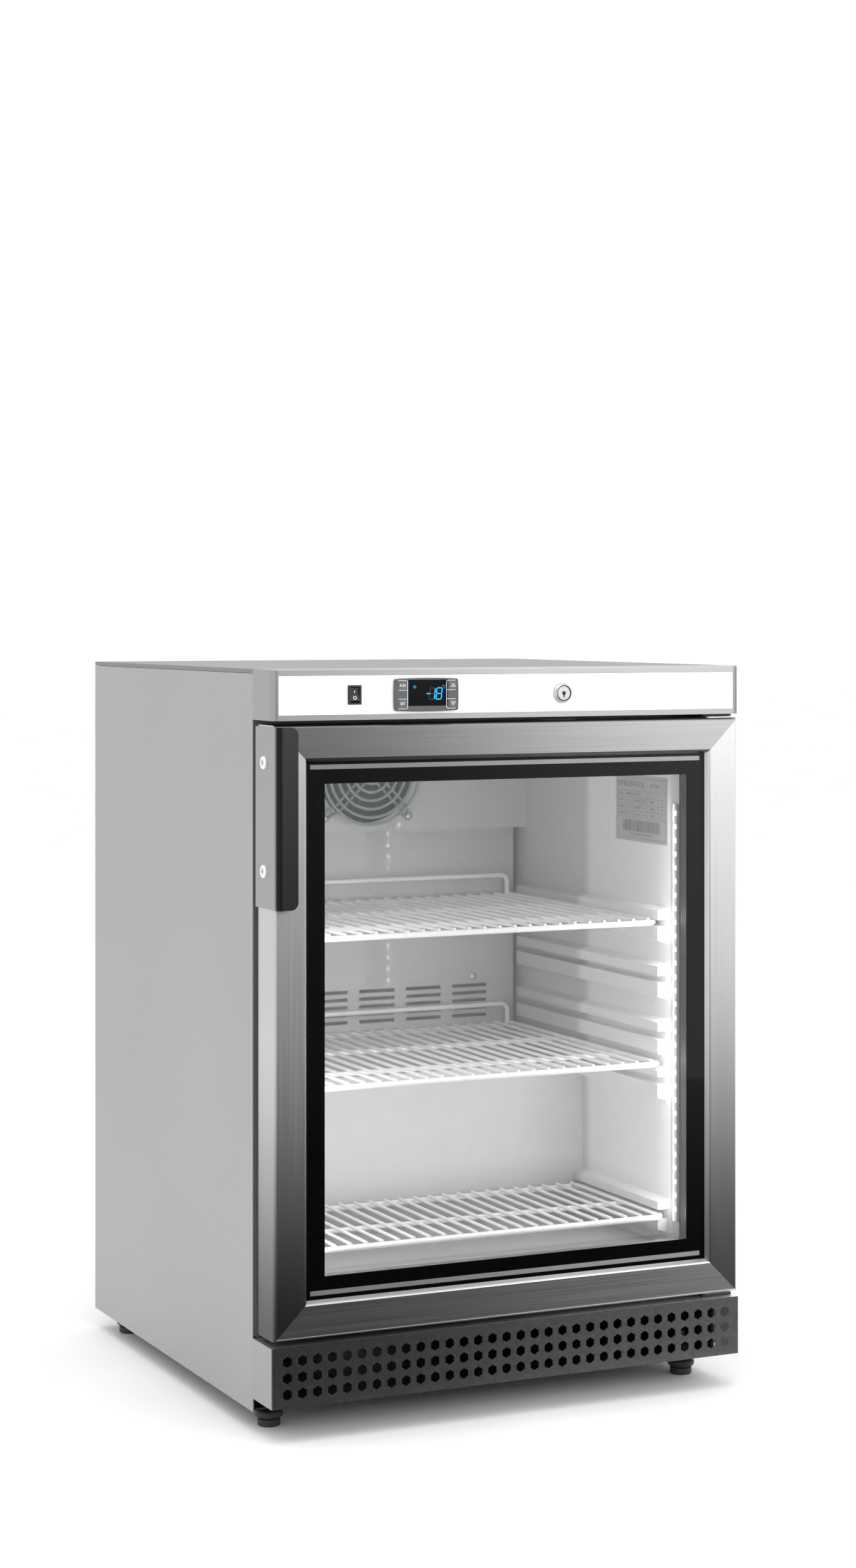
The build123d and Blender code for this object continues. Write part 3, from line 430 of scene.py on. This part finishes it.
# Top rail: painted reflection, dark at the left and lighter to the right.
door_steel_top_painted_reflection = brushed(
    "steel_top_rail_painted_reflection", "X", 0.60, 0.34, 0.10, gradient=(("X", (-0.30, 0.31, 0.27, 0.86)),)
)
# Left stile: painted reflection, dark at the bottom and lighter upwards.
door_steel_left_painted_reflection = brushed(
    "steel_left_stile_painted_reflection", "Z", 0.56, 0.40, 0.08, gradient=(("Z", (0.10, 0.46, 0.14, 1.03)),)
)
# Right stile: lighter tone as painted reflection, darker towards the bottom.
door_steel_right_painted_reflection = brushed(
    "steel_right_stile_painted_reflection", "Z", 0.80, 0.40, 0.06, gradient=(("Z", (0.12, 0.50, 0.26, 1.0)),)
)
# Painted reflection along the fascia, darker at the left, and painted shade darkening its right end where
# the corner turns away.
fascia_steel_painted_reflection = brushed(
    "fascia_steel_painted_reflection", "X", 0.50, 0.36, 0.04,
    gradient=(("X", (-0.30, 0.05, 0.72, 0.92)), ("X", (0.289, 0.299, 1.0, 0.50))),
)
# Darker tone and colour ramps are painted reflection and painted shade: the front leaf dark, the side return
# behind it bright, the bend at its left edge darker.
handle_steel_painted_reflection = brushed(
    "handle_steel_painted_reflection", "Z", 0.35, 0.36, 0.08,
    gradient=(("Y", (-0.3072, -0.3035, 0.17, 2.9)), ("X", (-0.2950, -0.2900, 0.35, 1.0))),
)
# One steel sheet: its front is coloured dark as painted reflection of a dark floor, lighter to the right,
# while its side returns stay lighter.
plinth_steel_painted_reflection = surface(
    "plinth_steel_painted_reflection", (0.50, 0.50, 0.503), 0.42, 0.8, (300, 300, 300), 0.12, 0.06, 0.2, 0.00004,
    gradient=(("X", (-0.28, 0.30, 0.75, 1.9)), ("Y", (-0.2973, -0.2955, 0.20, 1.0))),
)
# Painted shade: the white liner darkens towards the compartment floor and towards the back wall.
white_liner_painted_shade = surface(
    "liner_white_painted_shade", (0.92, 0.92, 0.92), 0.24, 0, (90, 90, 90), 0.012, 0.03, 0.04, 0.0001,
    gradient=(("Z", (0.157, 0.24, 0.45, 1.0)), ("Y", (-0.02, 0.005, 1.0, 0.68))),
)
white_panel = surface(
    "panel_white", (0.53, 0.53, 0.53), 0.30, 0, (70, 70, 70), 0.012, 0.03, 0.02, 0.0001, coat=1.0,
)
insert_white = surface(
    "insert_white", (0.93, 0.93, 0.935), 0.3, 0, (120, 120, 120), 0.008, 0.03, 0.04, 0.00005
)
wire_white = surface("wire_coat", (0.91, 0.91, 0.91), 0.25, 0, (150, 150, 150), 0.02, 0.04, 0.1, 0.0001)
guard_grey = surface(
    "guard_coat", (0.27, 0.345, 0.325), 0.26, 0, (150, 150, 150), 0.03, 0.04, 0.1, 0.0001
)
plated = surface(
    "plated_steel", (0.72, 0.72, 0.73), 0.22, 1.0, (200, 200, 200), 0.05, 0.06, 0.1, 0.00003
)
satin = surface("satin_nickel", (0.60, 0.60, 0.60), 0.30, 0.8, (150, 150, 150), 0.04, 0.06, 0.1, 0.00003)
dark_metal = surface(
    "dark_metal", (0.035, 0.035, 0.037), 0.4, 0.3, (200, 200, 200), 0.1, 0.06, 0.1, 0.00004
)
black_plastic = surface(
    "black_plastic", (0.012, 0.012, 0.013), 0.36, 0, (400, 400, 400), 0.15, 0.05, 0.25, 0.00004
)
case_grey = surface(
    "case_grey", (0.085, 0.088, 0.09), 0.42, 0, (500, 500, 500), 0.08, 0.05, 0.25, 0.00004
)
key_grey = surface("key_grey", (0.12, 0.125, 0.13), 0.45, 0, (500, 500, 500), 0.08, 0.05, 0.2, 0.00004)
print_black = surface("print_black", (0.004, 0.004, 0.0045), 0.3, 0, (100, 100, 100), 0.1, 0.03)
print_white = surface("print_white", (0.85, 0.86, 0.87), 0.5, 0, (300, 300, 300), 0.03, 0.03)
print_grey = surface("print_grey", (0.16, 0.16, 0.17), 0.5, 0, (300, 300, 300), 0.05, 0.03)
label_paper = surface("label_film", (0.55, 0.56, 0.57), 0.35, 0.3, (120, 120, 120), 0.03, 0.04)
aluminium = surface(
    "aluminium_mill", (0.62, 0.63, 0.64), 0.34, 1.0, (300, 6, 300), 0.06, 0.06, 0.1, 0.00003
)
coil_dull = surface("coil_dull", (0.20, 0.20, 0.205), 0.5, 0.6, (300, 6, 300), 0.08, 0.06, 0.1, 0.00003)
spacer_metal = surface(
    "spacer_metal", (0.18, 0.18, 0.185), 0.30, 1.0, (8, 300, 8), 0.05, 0.05, 0.1, 0.00003
)
seal_grey = surface(
    "seal_vinyl", (0.022, 0.022, 0.023), 0.55, 0, (120, 120, 120), 0.06, 0.06, 0.2, 0.0001
)
frame_grey = surface(
    "frame_plastic", (0.45, 0.46, 0.47), 0.4, 0, (150, 150, 150), 0.03, 0.05, 0.2, 0.00006
)
foam_cream = surface("rigid_foam", (0.72, 0.62, 0.38), 0.85, 0, (350, 350, 350), 0.12, 0.05, 0.6, 0.0003)
fan_green = surface(
    "fan_green", (0.012, 0.066, 0.042), 0.5, 0, (200, 200, 200), 0.06, 0.05, 0.1, 0.00005, spec=0.15
)
fan_black = surface(
    "fan_frame", (0.009, 0.0095, 0.01), 0.55, 0, (300, 300, 300), 0.1, 0.05, 0.2, 0.00005, spec=0.15
)
enamel = surface(
    "black_enamel", (0.010, 0.010, 0.011), 0.18, 0, (60, 60, 60), 0.1, 0.05, 0.2, 0.0002, coat=0.3
)
copper = surface("copper_tube", (0.72, 0.36, 0.22), 0.28, 1.0, (40, 40, 400), 0.12, 0.08, 0.1, 0.00004)
led_white = surface("led_cover", (0.85, 0.85, 0.82), 0.3, 0, (200, 200, 200), 0.02, 0.04)
rubber = surface("foot_rubber", (0.022, 0.022, 0.023), 0.5, 0, (250, 250, 250), 0.15, 0.07, 0.3, 0.0001)
window_dark = surface("window_dark", (0.003, 0.003, 0.004), 0.10, 0, (60, 60, 60), 0.2, 0.02, spec=0.12)
pane = clear_glass("pane", (0.985, 0.985, 0.985))
led_glow = glowing("led_glow", (1.0, 0.995, 0.985), 34.0)
digit_glow = glowing("digit_glow", (0.0, 0.50, 1.0), 1.3, (0.005, 0.02, 0.05))
icon_glow = glowing("icon_glow", (0.0, 0.42, 0.95), 0.8, (0.005, 0.02, 0.05))
digit_off = surface("digit_off", (0.012, 0.011, 0.010), 0.3, 0, (300, 300, 300), 0.1, 0.03)

DRESS = {
    casing: ("side_panel_left", "side_panel_right"),
    collar_painted_shade: ("front_collar",),
    shaded_casing_top: ("top_panel",),
    galvanised: ("back_panel",),
    base_painted_shade: ("base_frame",),
    door_steel_bottom_painted_reflection: ("door_rail_bottom",),
    door_steel_top_painted_reflection: ("door_rail_top",),
    door_steel_left_painted_reflection: ("door_stile_left",),
    door_steel_right_painted_reflection: ("door_stile_right",),
    fascia_steel_painted_reflection: ("fascia_bezel",),
    handle_steel_painted_reflection: ("handle",),
    plinth_steel_painted_reflection: ("plinth_grille",),
    white_liner_painted_shade: ("inner_liner",),
    white_panel: ("duct_panel", "evaporator_cover"),
    insert_white: ("fascia_insert", "handle_screw_cups"),
    wire_white: ("shelf_top", "shelf_middle", "shelf_bottom"),
    plated: ("handle_screws", "hinge_bushes", "lock_cam", "panel_screws"),
    satin: ("lock_barrel", "lock_cylinder"),
    dark_metal: ("hinge_brackets", "rear_grille"),
    black_plastic: ("switch_housing", "rocker", "cable_gland"),
    case_grey: ("controller_case",),
    key_grey: ("button_aux", "button_set", "button_up", "button_down"),
    window_dark: ("controller_window",),
    print_black: ("glass_border",),
    pane: ("glass_outer", "glass_inner"),
    aluminium: ("condenser_coil",),
    coil_dull: ("evaporator_coil",),
    spacer_metal: ("glass_spacer",),
    seal_grey: ("door_gasket",),
    frame_grey: ("door_inner_frame",),
    foam_cream: ("door_core", "foam_insulation"),
    fan_black: ("fan_housing", "condenser_fan_frame"),
    enamel: ("compressor",),
    copper: ("refrigerant_pipes",),
    led_white: ("led_bars",),
    rubber: ("foot_front_left", "foot_front_right", "foot_rear_left", "foot_rear_right"),
}
for material, names in DRESS.items():
    for name in names:
        if name in NODES:
            for place in NODES[name].material_slots:
                place.material = material

# ------------------------------------------------------------------ fans
guard_low, guard_high = box_of("fan_guard")
fan_at = (guard_low + guard_high) / 2
wire = 1.95 * MM
wire_inset = 2.0 * MM  # from the CAD guard's outline to the middle of its wire
outer_ring = (guard_high.x - guard_low.x) / 2 - wire_inset
ring_y = guard_low.y + wire_inset
cover_y = guard_high.y
lug_offset = 58.8 * MM
lug_reach = lug_offset * 2 ** 0.5
ring_insets = (0, 9.2, 20.0, 30.8, 41.7, 52.5)
bm = bmesh.new()
for inset in ring_insets:
    radius = outer_ring - inset * MM
    loop = []
    for k in range(96):
        turn = tau * k / 96
        loop.append((fan_at.x + radius * cos(turn), ring_y, fan_at.z + radius * sin(turn)))
    add_tube(bm, loop, wire, closed=True, sides=12)
rib_y = ring_y + 3.2 * MM
foot_y = cover_y - 1.9 * MM
hub = Vector((fan_at.x, 0, fan_at.z))
pair = 4.4 * MM  # half the gap between an arm's two wires
arm = [(15 * MM, rib_y), (60 * MM, rib_y), (67.5 * MM, rib_y + 2.0 * MM), (70 * MM, rib_y + 6 * MM)]
arm += [(71.5 * MM, foot_y - 3 * MM), (75 * MM, foot_y)]
for turn in (45, 135, 225, 315):
    along = Vector((cos(radians(turn)), 0, sin(radians(turn))))
    across = Vector((-along.z, 0, along.x))
    loop = []
    for side in (1, -1):
        points = [hub + along * out + across * side * pair + Vector((0, y, 0)) for out, y in arm]
        loop += points if side == 1 else points[::-1]
        if side == 1:
            for k in range(9):
                swing = radians(90 - 22.5 * k)
                tip = hub + along * (lug_reach + pair * cos(swing)) + across * pair * sin(swing)
                loop.append(tip + Vector((0, foot_y, 0)))
    add_tube(bm, loop, wire * 0.84, sides=12)
make("fan_wire_guard", bm, guard_grey, "cabinet", replaced=("fan_guard",))


# Panel and guard screws: domed heads with a sunk drive, on their shanks.
duct_face = box_of("duct_panel")[0].y
duct_screw_z = 441.3 * MM
lug_high = 3 * MM
shank = 2.2
places = [(x * MM, duct_screw_z, duct_face, 5.0, 2.2, 9.0) for x in (180.8, -165.2)]
for sx in (-1, 1):
    for sz in (-1, 1):
        at_x, at_z = fan_at.x + sx * lug_offset, fan_at.z + sz * lug_offset
        places.append((at_x, at_z, cover_y - lug_high, 4.2, 2.2, 2.9))
bm = bmesh.new()
for x, z, seat, wide, tall, deep in places:
    profile = [(0, -tall * 0.45), (0.9, -tall * 0.55), (1.5, -tall * 0.97), (wide * 0.55, -tall * 0.90)]
    profile += [(wide * 0.82, -tall * 0.66), (wide * 0.97, -tall * 0.28), (wide, 0)]
    profile += [(shank, 0), (shank, deep), (0, deep)]
    add_lathe(bm, [(r * MM, y * MM) for r, y in profile], (x, seat, z), (0, 1, 0), 32)
make("panel_screw_heads", bm, plated, "cabinet", replaced=("panel_screws",))


def fan_wheel(name, node, body, centre, tip, hub, blades=5):
    """Hub with a domed nose, swept and twisted blades, and a shaft behind."""
    low, high = box_of(node)
    nose = low.y
    back = high.y - 13 * MM
    deep = back - nose
    bm = bmesh.new()
    profile = [(0, 0), (hub * 0.5, 0.2 * MM), (hub * 0.86, 1.2 * MM), (hub, 4 * MM)]
    profile += [(hub, deep), (hub * 0.9, deep), (0, deep)]
    add_lathe(bm, profile, (centre.x, nose, centre.z), INWARD, 56)
    rows, columns = 10, 8
    for index in range(blades):
        grid = {}
        for i in range(rows + 1):
            t = i / rows
            radius = hub * 0.96 + (tip - hub * 0.96) * t
            half_span = radians(29) * (1 - 0.12 * t) * (1 - 0.25 * (t > 0.97))
            lead = radians(26) * t * t
            pitch = (deep * 0.44) * (1 - 0.35 * t)
            for j in range(columns + 1):
                s = -1 + 2 * j / columns
                turn = tau * index / blades + lead + s * half_span
                cup = 1.6 * MM * (1 - s * s)
                for face in (0, 1):
                    y = nose + deep * 0.5 + s * pitch + cup + face * 1.3 * MM
                    grid[i, j, face] = bm.verts.new(
                        (centre.x + radius * cos(turn), y, centre.z + radius * sin(turn))
                    )
        for i in range(rows):
            for j in range(columns):
                for face in (0, 1):
                    ring = ((i, j), (i + 1, j), (i + 1, j + 1), (i, j + 1))
                    bm.faces.new([grid[a, b, face] for a, b in ring])
        for i in range(rows):
            for j in (0, columns):
                bm.faces.new((grid[i, j, 0], grid[i + 1, j, 0], grid[i + 1, j, 1], grid[i, j, 1]))
        for j in range(columns):
            for i in (0, rows):
                bm.faces.new((grid[i, j, 0], grid[i, j + 1, 0], grid[i, j + 1, 1], grid[i, j, 1]))
    shaft, start, end = 2.45 * MM, deep - 1 * MM, deep + 12 * MM
    profile = [(0, start), (shaft, start), (shaft, end), (0, end)]
    add_lathe(bm, profile, (centre.x, nose, centre.z), INWARD, 24)
    make(name, bm, fan_green, body, replaced=(node,))


condenser_at = middle("condenser_fan_frame")
fan_wheel("evaporator_fan_wheel", "fan_rotor", "evaporator_fan", fan_at, 57.6 * MM, 20 * MM)
fan_wheel("condenser_fan_wheel", "condenser_fan_rotor", "condenser_fan", condenser_at, 70.6 * MM, 26 * MM)

# ------------------------------------------------------------------ lights inside the compartment
bar_low, bar_high = box_of("led_bars")
chip_pitch = 16.4 * MM
chip_count = int((bar_high.z - bar_low.z - 16 * MM) / chip_pitch) + 1
chip_y = bar_low.y + 2.6 * MM
bar_face = bar_high.x - 3.5 * MM
chip_half = 2.0 * MM
bm = bmesh.new()
for side in (-1, 1):
    for k in range(chip_count):
        z = bar_high.z - 11 * MM - k * chip_pitch
        x0, x1 = sorted((side * (bar_face - 0.7 * MM), side * (bar_face + 0.05 * MM)))
        low, high = (x0, chip_y - chip_half, z - chip_half), (x1, chip_y + chip_half, z + chip_half)
        add_box(bm, low, high, 0.3 * MM)
make("led_chips", bm, led_glow, "cabinet")

# ------------------------------------------------------------------ rating label on the right wall
label_x = bar_high.x
collar_y = box_of("front_collar")[0].y
label_y0, label_y1 = collar_y + 29 * MM, collar_y + 158 * MM
label_z0, label_z1 = 640 * MM, 722 * MM
label_place = Matrix.Translation((label_x - 0.3 * MM, label_y1, label_z0)) @ Matrix(
    ((0, 0, -1, 0), (-1, 0, 0, 0), (0, 1, 0, 0), (0, 0, 0, 1))
)
label_w, label_h = label_y1 - label_y0, label_z1 - label_z0
bm = bmesh.new()
corner = 2.5 * MM
outline = []
right, top = label_w - corner, label_h - corner
for cx, cy, start in ((right, top, 0), (corner, top, 90), (corner, corner, 180), (right, corner, 270)):
    for k in range(6):
        turn = radians(start + 18 * k)
        outline.append((cx + corner * cos(turn), cy + corner * sin(turn)))
add_plate(bm, outline, label_place @ Matrix.Translation((0, 0, -0.28 * MM)), 0.3 * MM)
make("rating_label", bm, label_paper, "cabinet")

bm = bmesh.new()
inset = 4 * MM
table_top = label_h - 20 * MM
row = 8.2 * MM
rule = 0.3 * MM
right, top = label_w - inset, label_h - inset
border = [(inset, inset), (right, inset), (right, top), (inset, top)]
add_ribbon(bm, border, 0.35 * MM, label_place, closed=True)
for k in range(5):
    up = table_top - k * row
    add_ribbon(bm, [(inset, up), (right, up)], rule, label_place)
for across in (28, 42, 64, 78, 106):
    ends = [(across * MM, table_top - row), (across * MM, table_top - 4 * row)]
    add_ribbon(bm, ends, rule, label_place)
add_text(bm, "REFRIGERATOR", 9.5 * MM, (38 * MM, label_h - 12 * MM), label_place)
add_text(bm, "220-240 V", 6.0 * MM, (98 * MM, label_h - 12 * MM), label_place)
for up, words in enumerate(("MODEL   UNDERCOUNTER", "CLASS", "POWER", "CURRENT")):
    add_text(bm, words, 4.4 * MM, (6 * MM, table_top - (up + 0.5) * row), label_place, align="LEFT")
table = (
    ("4", "VOLTAGE", "230", "FREQ.", "50"),
    ("120", "CLIMATE", "N", "MASS", "45"),
    ("0.9", "GAS (g)", "45", "FUSE", "2"),
)
for up, cells in enumerate(table):
    for across, words in zip((35, 53, 71, 92, 115), cells):
        add_text(bm, words, 4.2 * MM, (across * MM, table_top - (up + 1.5) * row), label_place)
across, bars_end = 18.0, 108
bar_foot, bar_head = 12 * MM, 26 * MM
seed = 7
while across < bars_end:
    seed = (seed * 73 + 19) % 101
    width = 0.5 + (seed % 4) * 0.42
    left, right = across * MM, (across + width) * MM
    add_plate(bm, [(left, bar_foot), (right, bar_foot), (right, bar_head), (left, bar_head)], label_place)
    across += width + 0.7 + (seed % 3) * 0.45
add_text(bm, "0123 4567 8901 2345 6789", 4.6 * MM, (63 * MM, 8.5 * MM), label_place)
make("rating_label_print", bm, print_grey, "cabinet")

# ------------------------------------------------------------------ controller face
PRINT_GAP = 0.02 * MM  # between a printed mark and the surface behind it
case_mid = middle("controller_case")
face = facing_front(case_mid.x, box_of("controller_window")[0].y - PRINT_GAP, case_mid.z)
slant = 0.12


def segment(bm, at, length, upright, thick):
    """One bar of a seven-segment digit, with pointed ends, leaning with the digit."""
    half, cut = length / 2, thick / 2
    points = [(-half, 0), (-half + cut, cut), (half - cut, cut)]
    points += [(half, 0), (half - cut, -cut), (-half + cut, -cut)]
    if upright:
        points = [(-y, x) for x, y in points]
    leaned = []
    for x, y in points:
        up = at[1] + y
        leaned.append((at[0] + x + slant * up, up))
    add_plate(bm, [(p[0] * MM, p[1] * MM) for p in leaned], face)


SEGMENTS = {
    "a": (0, 1, False), "b": (0.5, 0.5, True), "c": (0.5, -0.5, True), "d": (0, -1, False),
    "e": (-0.5, -0.5, True), "f": (-0.5, 0.5, True), "g": (0, 0, False),
}


def digit(bm, across, names, wide=6.6, tall=6.4, thick=1.25, up=1.2):
    for name in names:
        sx, sz, upright = SEGMENTS[name]
        length = tall - 0.3 if upright else wide - 0.3
        segment(bm, (across + sx * wide, up + sz * tall), length, upright, thick)


bm = bmesh.new()
digit(bm, 2.2, "g")
digit(bm, 6.6, "bc", wide=6.0)
digit(bm, 15.0, "abcdefg")
make("display_digits", bm, digit_glow, "cabinet")
bm = bmesh.new()
digit(bm, 6.1, "adefg", wide=6.0)
make("display_unlit", bm, digit_off, "cabinet")
flake_x, flake_z = -15.3, 9.0  # a plain snowflake, for cooling
bm = bmesh.new()
for turn in (0, 60, 120):
    c, s = cos(radians(turn + 90)) * 2.0, sin(radians(turn + 90)) * 2.0
    start = ((flake_x - c) * MM, (flake_z - s) * MM)
    end = ((flake_x + c) * MM, (flake_z + s) * MM)
    add_ribbon(bm, [start, end], 0.42 * MM, face)
for turn in range(0, 360, 60):
    c, s = cos(radians(turn + 90)) * 1.25, sin(radians(turn + 90)) * 1.25
    for lean in (40, -40):
        dx, dy = cos(radians(turn + 90 + lean)) * 0.8, sin(radians(turn + 90 + lean)) * 0.8
        start = ((flake_x + c) * MM, (flake_z + s) * MM)
        end = ((flake_x + c + dx) * MM, (flake_z + s + dy) * MM)
        add_ribbon(bm, [start, end], 0.32 * MM, face)
arc = [((22.3 + 1.4 * cos(radians(a))) * MM, (8.7 + 1.5 * sin(radians(a))) * MM) for a in range(50, 320, 30)]
add_ribbon(bm, arc, 0.5 * MM, face)
dot = [((19.9 + 0.5 * cos(radians(a))) * MM, (10.3 + 0.5 * sin(radians(a))) * MM) for a in range(0, 360, 45)]
add_ribbon(bm, dot, 0.3 * MM, face, closed=True)
make("display_icons", bm, icon_glow, "cabinet")

def surface_y(node, x, z):
    """Front surface of a CAD node at x, z."""
    found = front_hit(tree_of(node), x, z)
    return box_of(node)[0].y if found is None else found


# White outlines round the keys, printed on the case, and the legends on the keys.
case_y = surface_y("controller_case", case_mid.x - 36.5 * MM, case_mid.z)
case_face = facing_front(case_mid.x, case_y - 0.03 * MM, case_mid.z)
bm = bmesh.new()
for side in (-1, 1):
    edge, inner = side * 35.8, side * 24.4
    corners = ((edge, 16.2), (inner, 16.2), (inner, -15.6), (edge, -15.6))
    loop = round_path([(x * MM, y * MM, 0) for x, y in corners], 2.2 * MM)
    add_ribbon(bm, [(p.x, p.y) for p in loop], 0.5 * MM, case_face, 0.15 * MM)
    for up in (5.3, -4.7):
        add_ribbon(bm, [(edge * MM, up * MM), (inner * MM, up * MM)], 0.45 * MM, case_face, 0.15 * MM)
make("controller_outlines", bm, print_white, "cabinet")

for key, words in (("aux", "AUX"), ("set", "SET"), ("up", None), ("down", None)):
    node = "button_" + key
    low, high = box_of(node)
    centre = (low + high) / 2
    spot = facing_front(centre.x, low.y - PRINT_GAP, centre.z)
    bm = bmesh.new()
    if words:
        add_text(bm, words, 4.0 * MM, (0, 0), spot, 0.1 * MM)
    else:
        flip = 1 if key == "up" else -1
        add_ribbon(
            bm,
            [(-2.4 * MM, -1.4 * flip * MM), (0, 1.8 * flip * MM), (2.4 * MM, -1.4 * flip * MM)],
            0.5 * MM, spot, 0.1 * MM, closed=True,
        )
    make("legend_" + key, bm, print_white, "key_" + key)

# ------------------------------------------------------------------ switch legends
rocker_low, rocker_high = box_of("rocker")
rocker_mid = (rocker_low + rocker_high) / 2
bm = bmesh.new()
front_place = facing_front(rocker_mid.x, 0, rocker_mid.z)
add_ribbon(bm, [(0, (2.0 + k * 0.6) * MM) for k in range(6)], 0.6 * MM, front_place, 0.1 * MM)
ring = [(1.7 * MM * cos(tau * k / 24), (-3.4 + 1.7 * sin(tau * k / 24)) * MM) for k in range(24)]
add_ribbon(bm, ring, 0.6 * MM, front_place, 0.1 * MM, closed=True)
rocker_tree = tree_of("rocker")
for vert in bm.verts:
    found = front_hit(rocker_tree, vert.co.x, vert.co.z)
    lift = vert.co.y
    vert.co.y = (rocker_low.y if found is None else found) - PRINT_GAP + lift
make("switch_legends", bm, print_white, "rocker_body")

# ------------------------------------------------------------------ dark ring round the lock's cylinder: painted shade for the gap between cylinder and barrel
lock_low, lock_high = box_of("lock_cylinder")
lock_mid = (lock_low + lock_high) / 2
groove = lock_high.z - lock_mid.z
rise, sink = -0.05 * MM, 0.3 * MM
bm = bmesh.new()
profile = [(groove - 0.25 * MM, sink), (groove - 0.2 * MM, rise)]
profile += [(groove + 0.75 * MM, rise), (groove + 0.8 * MM, sink)]
barrel_y = surface_y("lock_barrel", lock_mid.x, lock_mid.z + groove + 0.5 * MM)
add_lathe(bm, profile + profile[:1], (lock_mid.x, barrel_y, lock_mid.z), INWARD, 64)
make("lock_gap_painted_shade", bm, black_plastic, "cabinet")

# ------------------------------------------------------------------ contact strips behind the front pane
strip_y = box_of("glass_border")[0].y - 0.01 * MM
strip_half = 250.3 * MM
bm = bmesh.new()
for z0, z1 in ((746.9, 752.1), (159.6, 165.0)):
    low = (-strip_half, strip_y - 0.06 * MM, z0 * MM)
    high = (strip_half, strip_y + 0.005 * MM, z1 * MM)
    add_box(bm, low, high, 0.02 * MM, 1)
# The strips' tone ramp is painted reflection, darker at the left and lighter to the right.
strip_steel_painted_reflection = brushed("contact_strip_painted_reflection", "X", 0.27, 0.35, 0.05, gradient=(("X", (-0.25, 0.25, 0.65, 1.0)),))
make("glass_contact_strips", bm, strip_steel_painted_reflection, "door")

# ------------------------------------------------------------------ studio
bm = bmesh.new()
bmesh.ops.create_grid(bm, x_segments=1, y_segments=1, size=30)
floor_white = surface("floor_white", (0.96, 0.96, 0.96), 0.85, 0, (6, 6, 6), 0.004, 0.02, spec=0.0)
floor = make("studio_floor", bm, floor_white, None)


def flag(name, corners, dark, light, along, stops):
    """A card seen only in reflections, dark on one side and fading to light."""
    bm = bmesh.new()
    bm.faces.new([bm.verts.new(c) for c in corners])
    mat = bpy.data.materials.new(name)
    mat.use_nodes = True
    nodes, links = mat.node_tree.nodes, mat.node_tree.links
    nodes.remove(nodes["Principled BSDF"])
    glow = nodes.new("ShaderNodeEmission")
    place = nodes.new("ShaderNodeTexCoord")
    split = nodes.new("ShaderNodeSeparateXYZ")
    ramp = nodes.new("ShaderNodeMapRange")
    ramp.interpolation_type = "SMOOTHSTEP"
    for socket, number in zip(("From Min", "From Max", "To Min", "To Max"), (*stops, dark, light)):
        ramp.inputs[socket].default_value = number
    links.new(place.outputs["Object"], split.inputs["Vector"])
    links.new(split.outputs[along], ramp.inputs["Value"])
    links.new(ramp.outputs["Result"], glow.inputs["Strength"])
    links.new(glow.outputs["Emission"], nodes["Material Output"].inputs["Surface"])
    mat.cycles.emission_sampling = "NONE"
    card = make(name, bm, mat, None)
    card.visible_camera = False
    card.visible_diffuse = False
    card.visible_shadow = False
    card.visible_transmission = False
    return card


flag(
    "flag_upright",
    [(-0.9, -2.3, 0.0), (2.6, -2.3, 0.0), (2.6, -2.3, 0.72), (-0.9, -2.3, 0.72)],
    0.06, 1.1, "X", (0.6, 2.0),
)
flag(
    "flag_floor",
    [(-1.2, -2.3, 0.004), (2.6, -2.3, 0.004), (2.6, -0.36, 0.004), (-1.2, -0.36, 0.004)],
    0.03, 0.6, "X", (0.4, 2.2),
)

world = bpy.data.worlds.new("studio")
world.use_nodes = True
world.node_tree.nodes["Background"].inputs["Color"].default_value = (1, 1, 1, 1)
world.node_tree.nodes["Background"].inputs["Strength"].default_value = 1.06
bpy.context.scene.world = world


def softbox(name, at, aim, size, power, size_y=None):
    lamp = bpy.data.lights.new(name, "AREA")
    lamp.shape = "RECTANGLE"
    lamp.size = size
    lamp.size_y = size_y or size
    lamp.energy = power
    holder = bpy.data.objects.new(name, lamp)
    holder.location = at
    holder.rotation_euler = (Vector(aim) - Vector(at)).to_track_quat("-Z", "Y").to_euler()
    bpy.context.scene.collection.objects.link(holder)
    return holder


softbox("overhead", (-0.4, -0.6, 3.2), (0, 0, 0), 3.0, 40)
softbox("front_panel", (1.3, -2.8, 1.55), (0.1, -0.3, 0.5), 1.6, 16, 1.2)
inside = middle("led_bars")
strip_x = 0.2445
for side in (-1, 1):
    at = (side * strip_x, chip_y, inside.z)
    aim = (side * strip_x - side * 1.0, chip_y + 0.75, inside.z)
    lamp = softbox(f"strip_{side}", at, aim, 8 * MM, 0.46, 0.50)
    lamp.visible_camera = False
    lamp.visible_glossy = False

camera_data = bpy.data.cameras.new("camera")
camera_data.sensor_width = 36
camera_data.lens = 67.374
camera_data.shift_y = -0.10843
camera = bpy.data.objects.new("camera", camera_data)
camera.location = (-1.51896, -3.30716, 0.92044)
camera.rotation_euler = (radians(90), 0, radians(-25.1))
bpy.context.scene.collection.objects.link(camera)
bpy.context.scene.camera = camera
bpy.context.scene.view_settings.view_transform = "Standard"
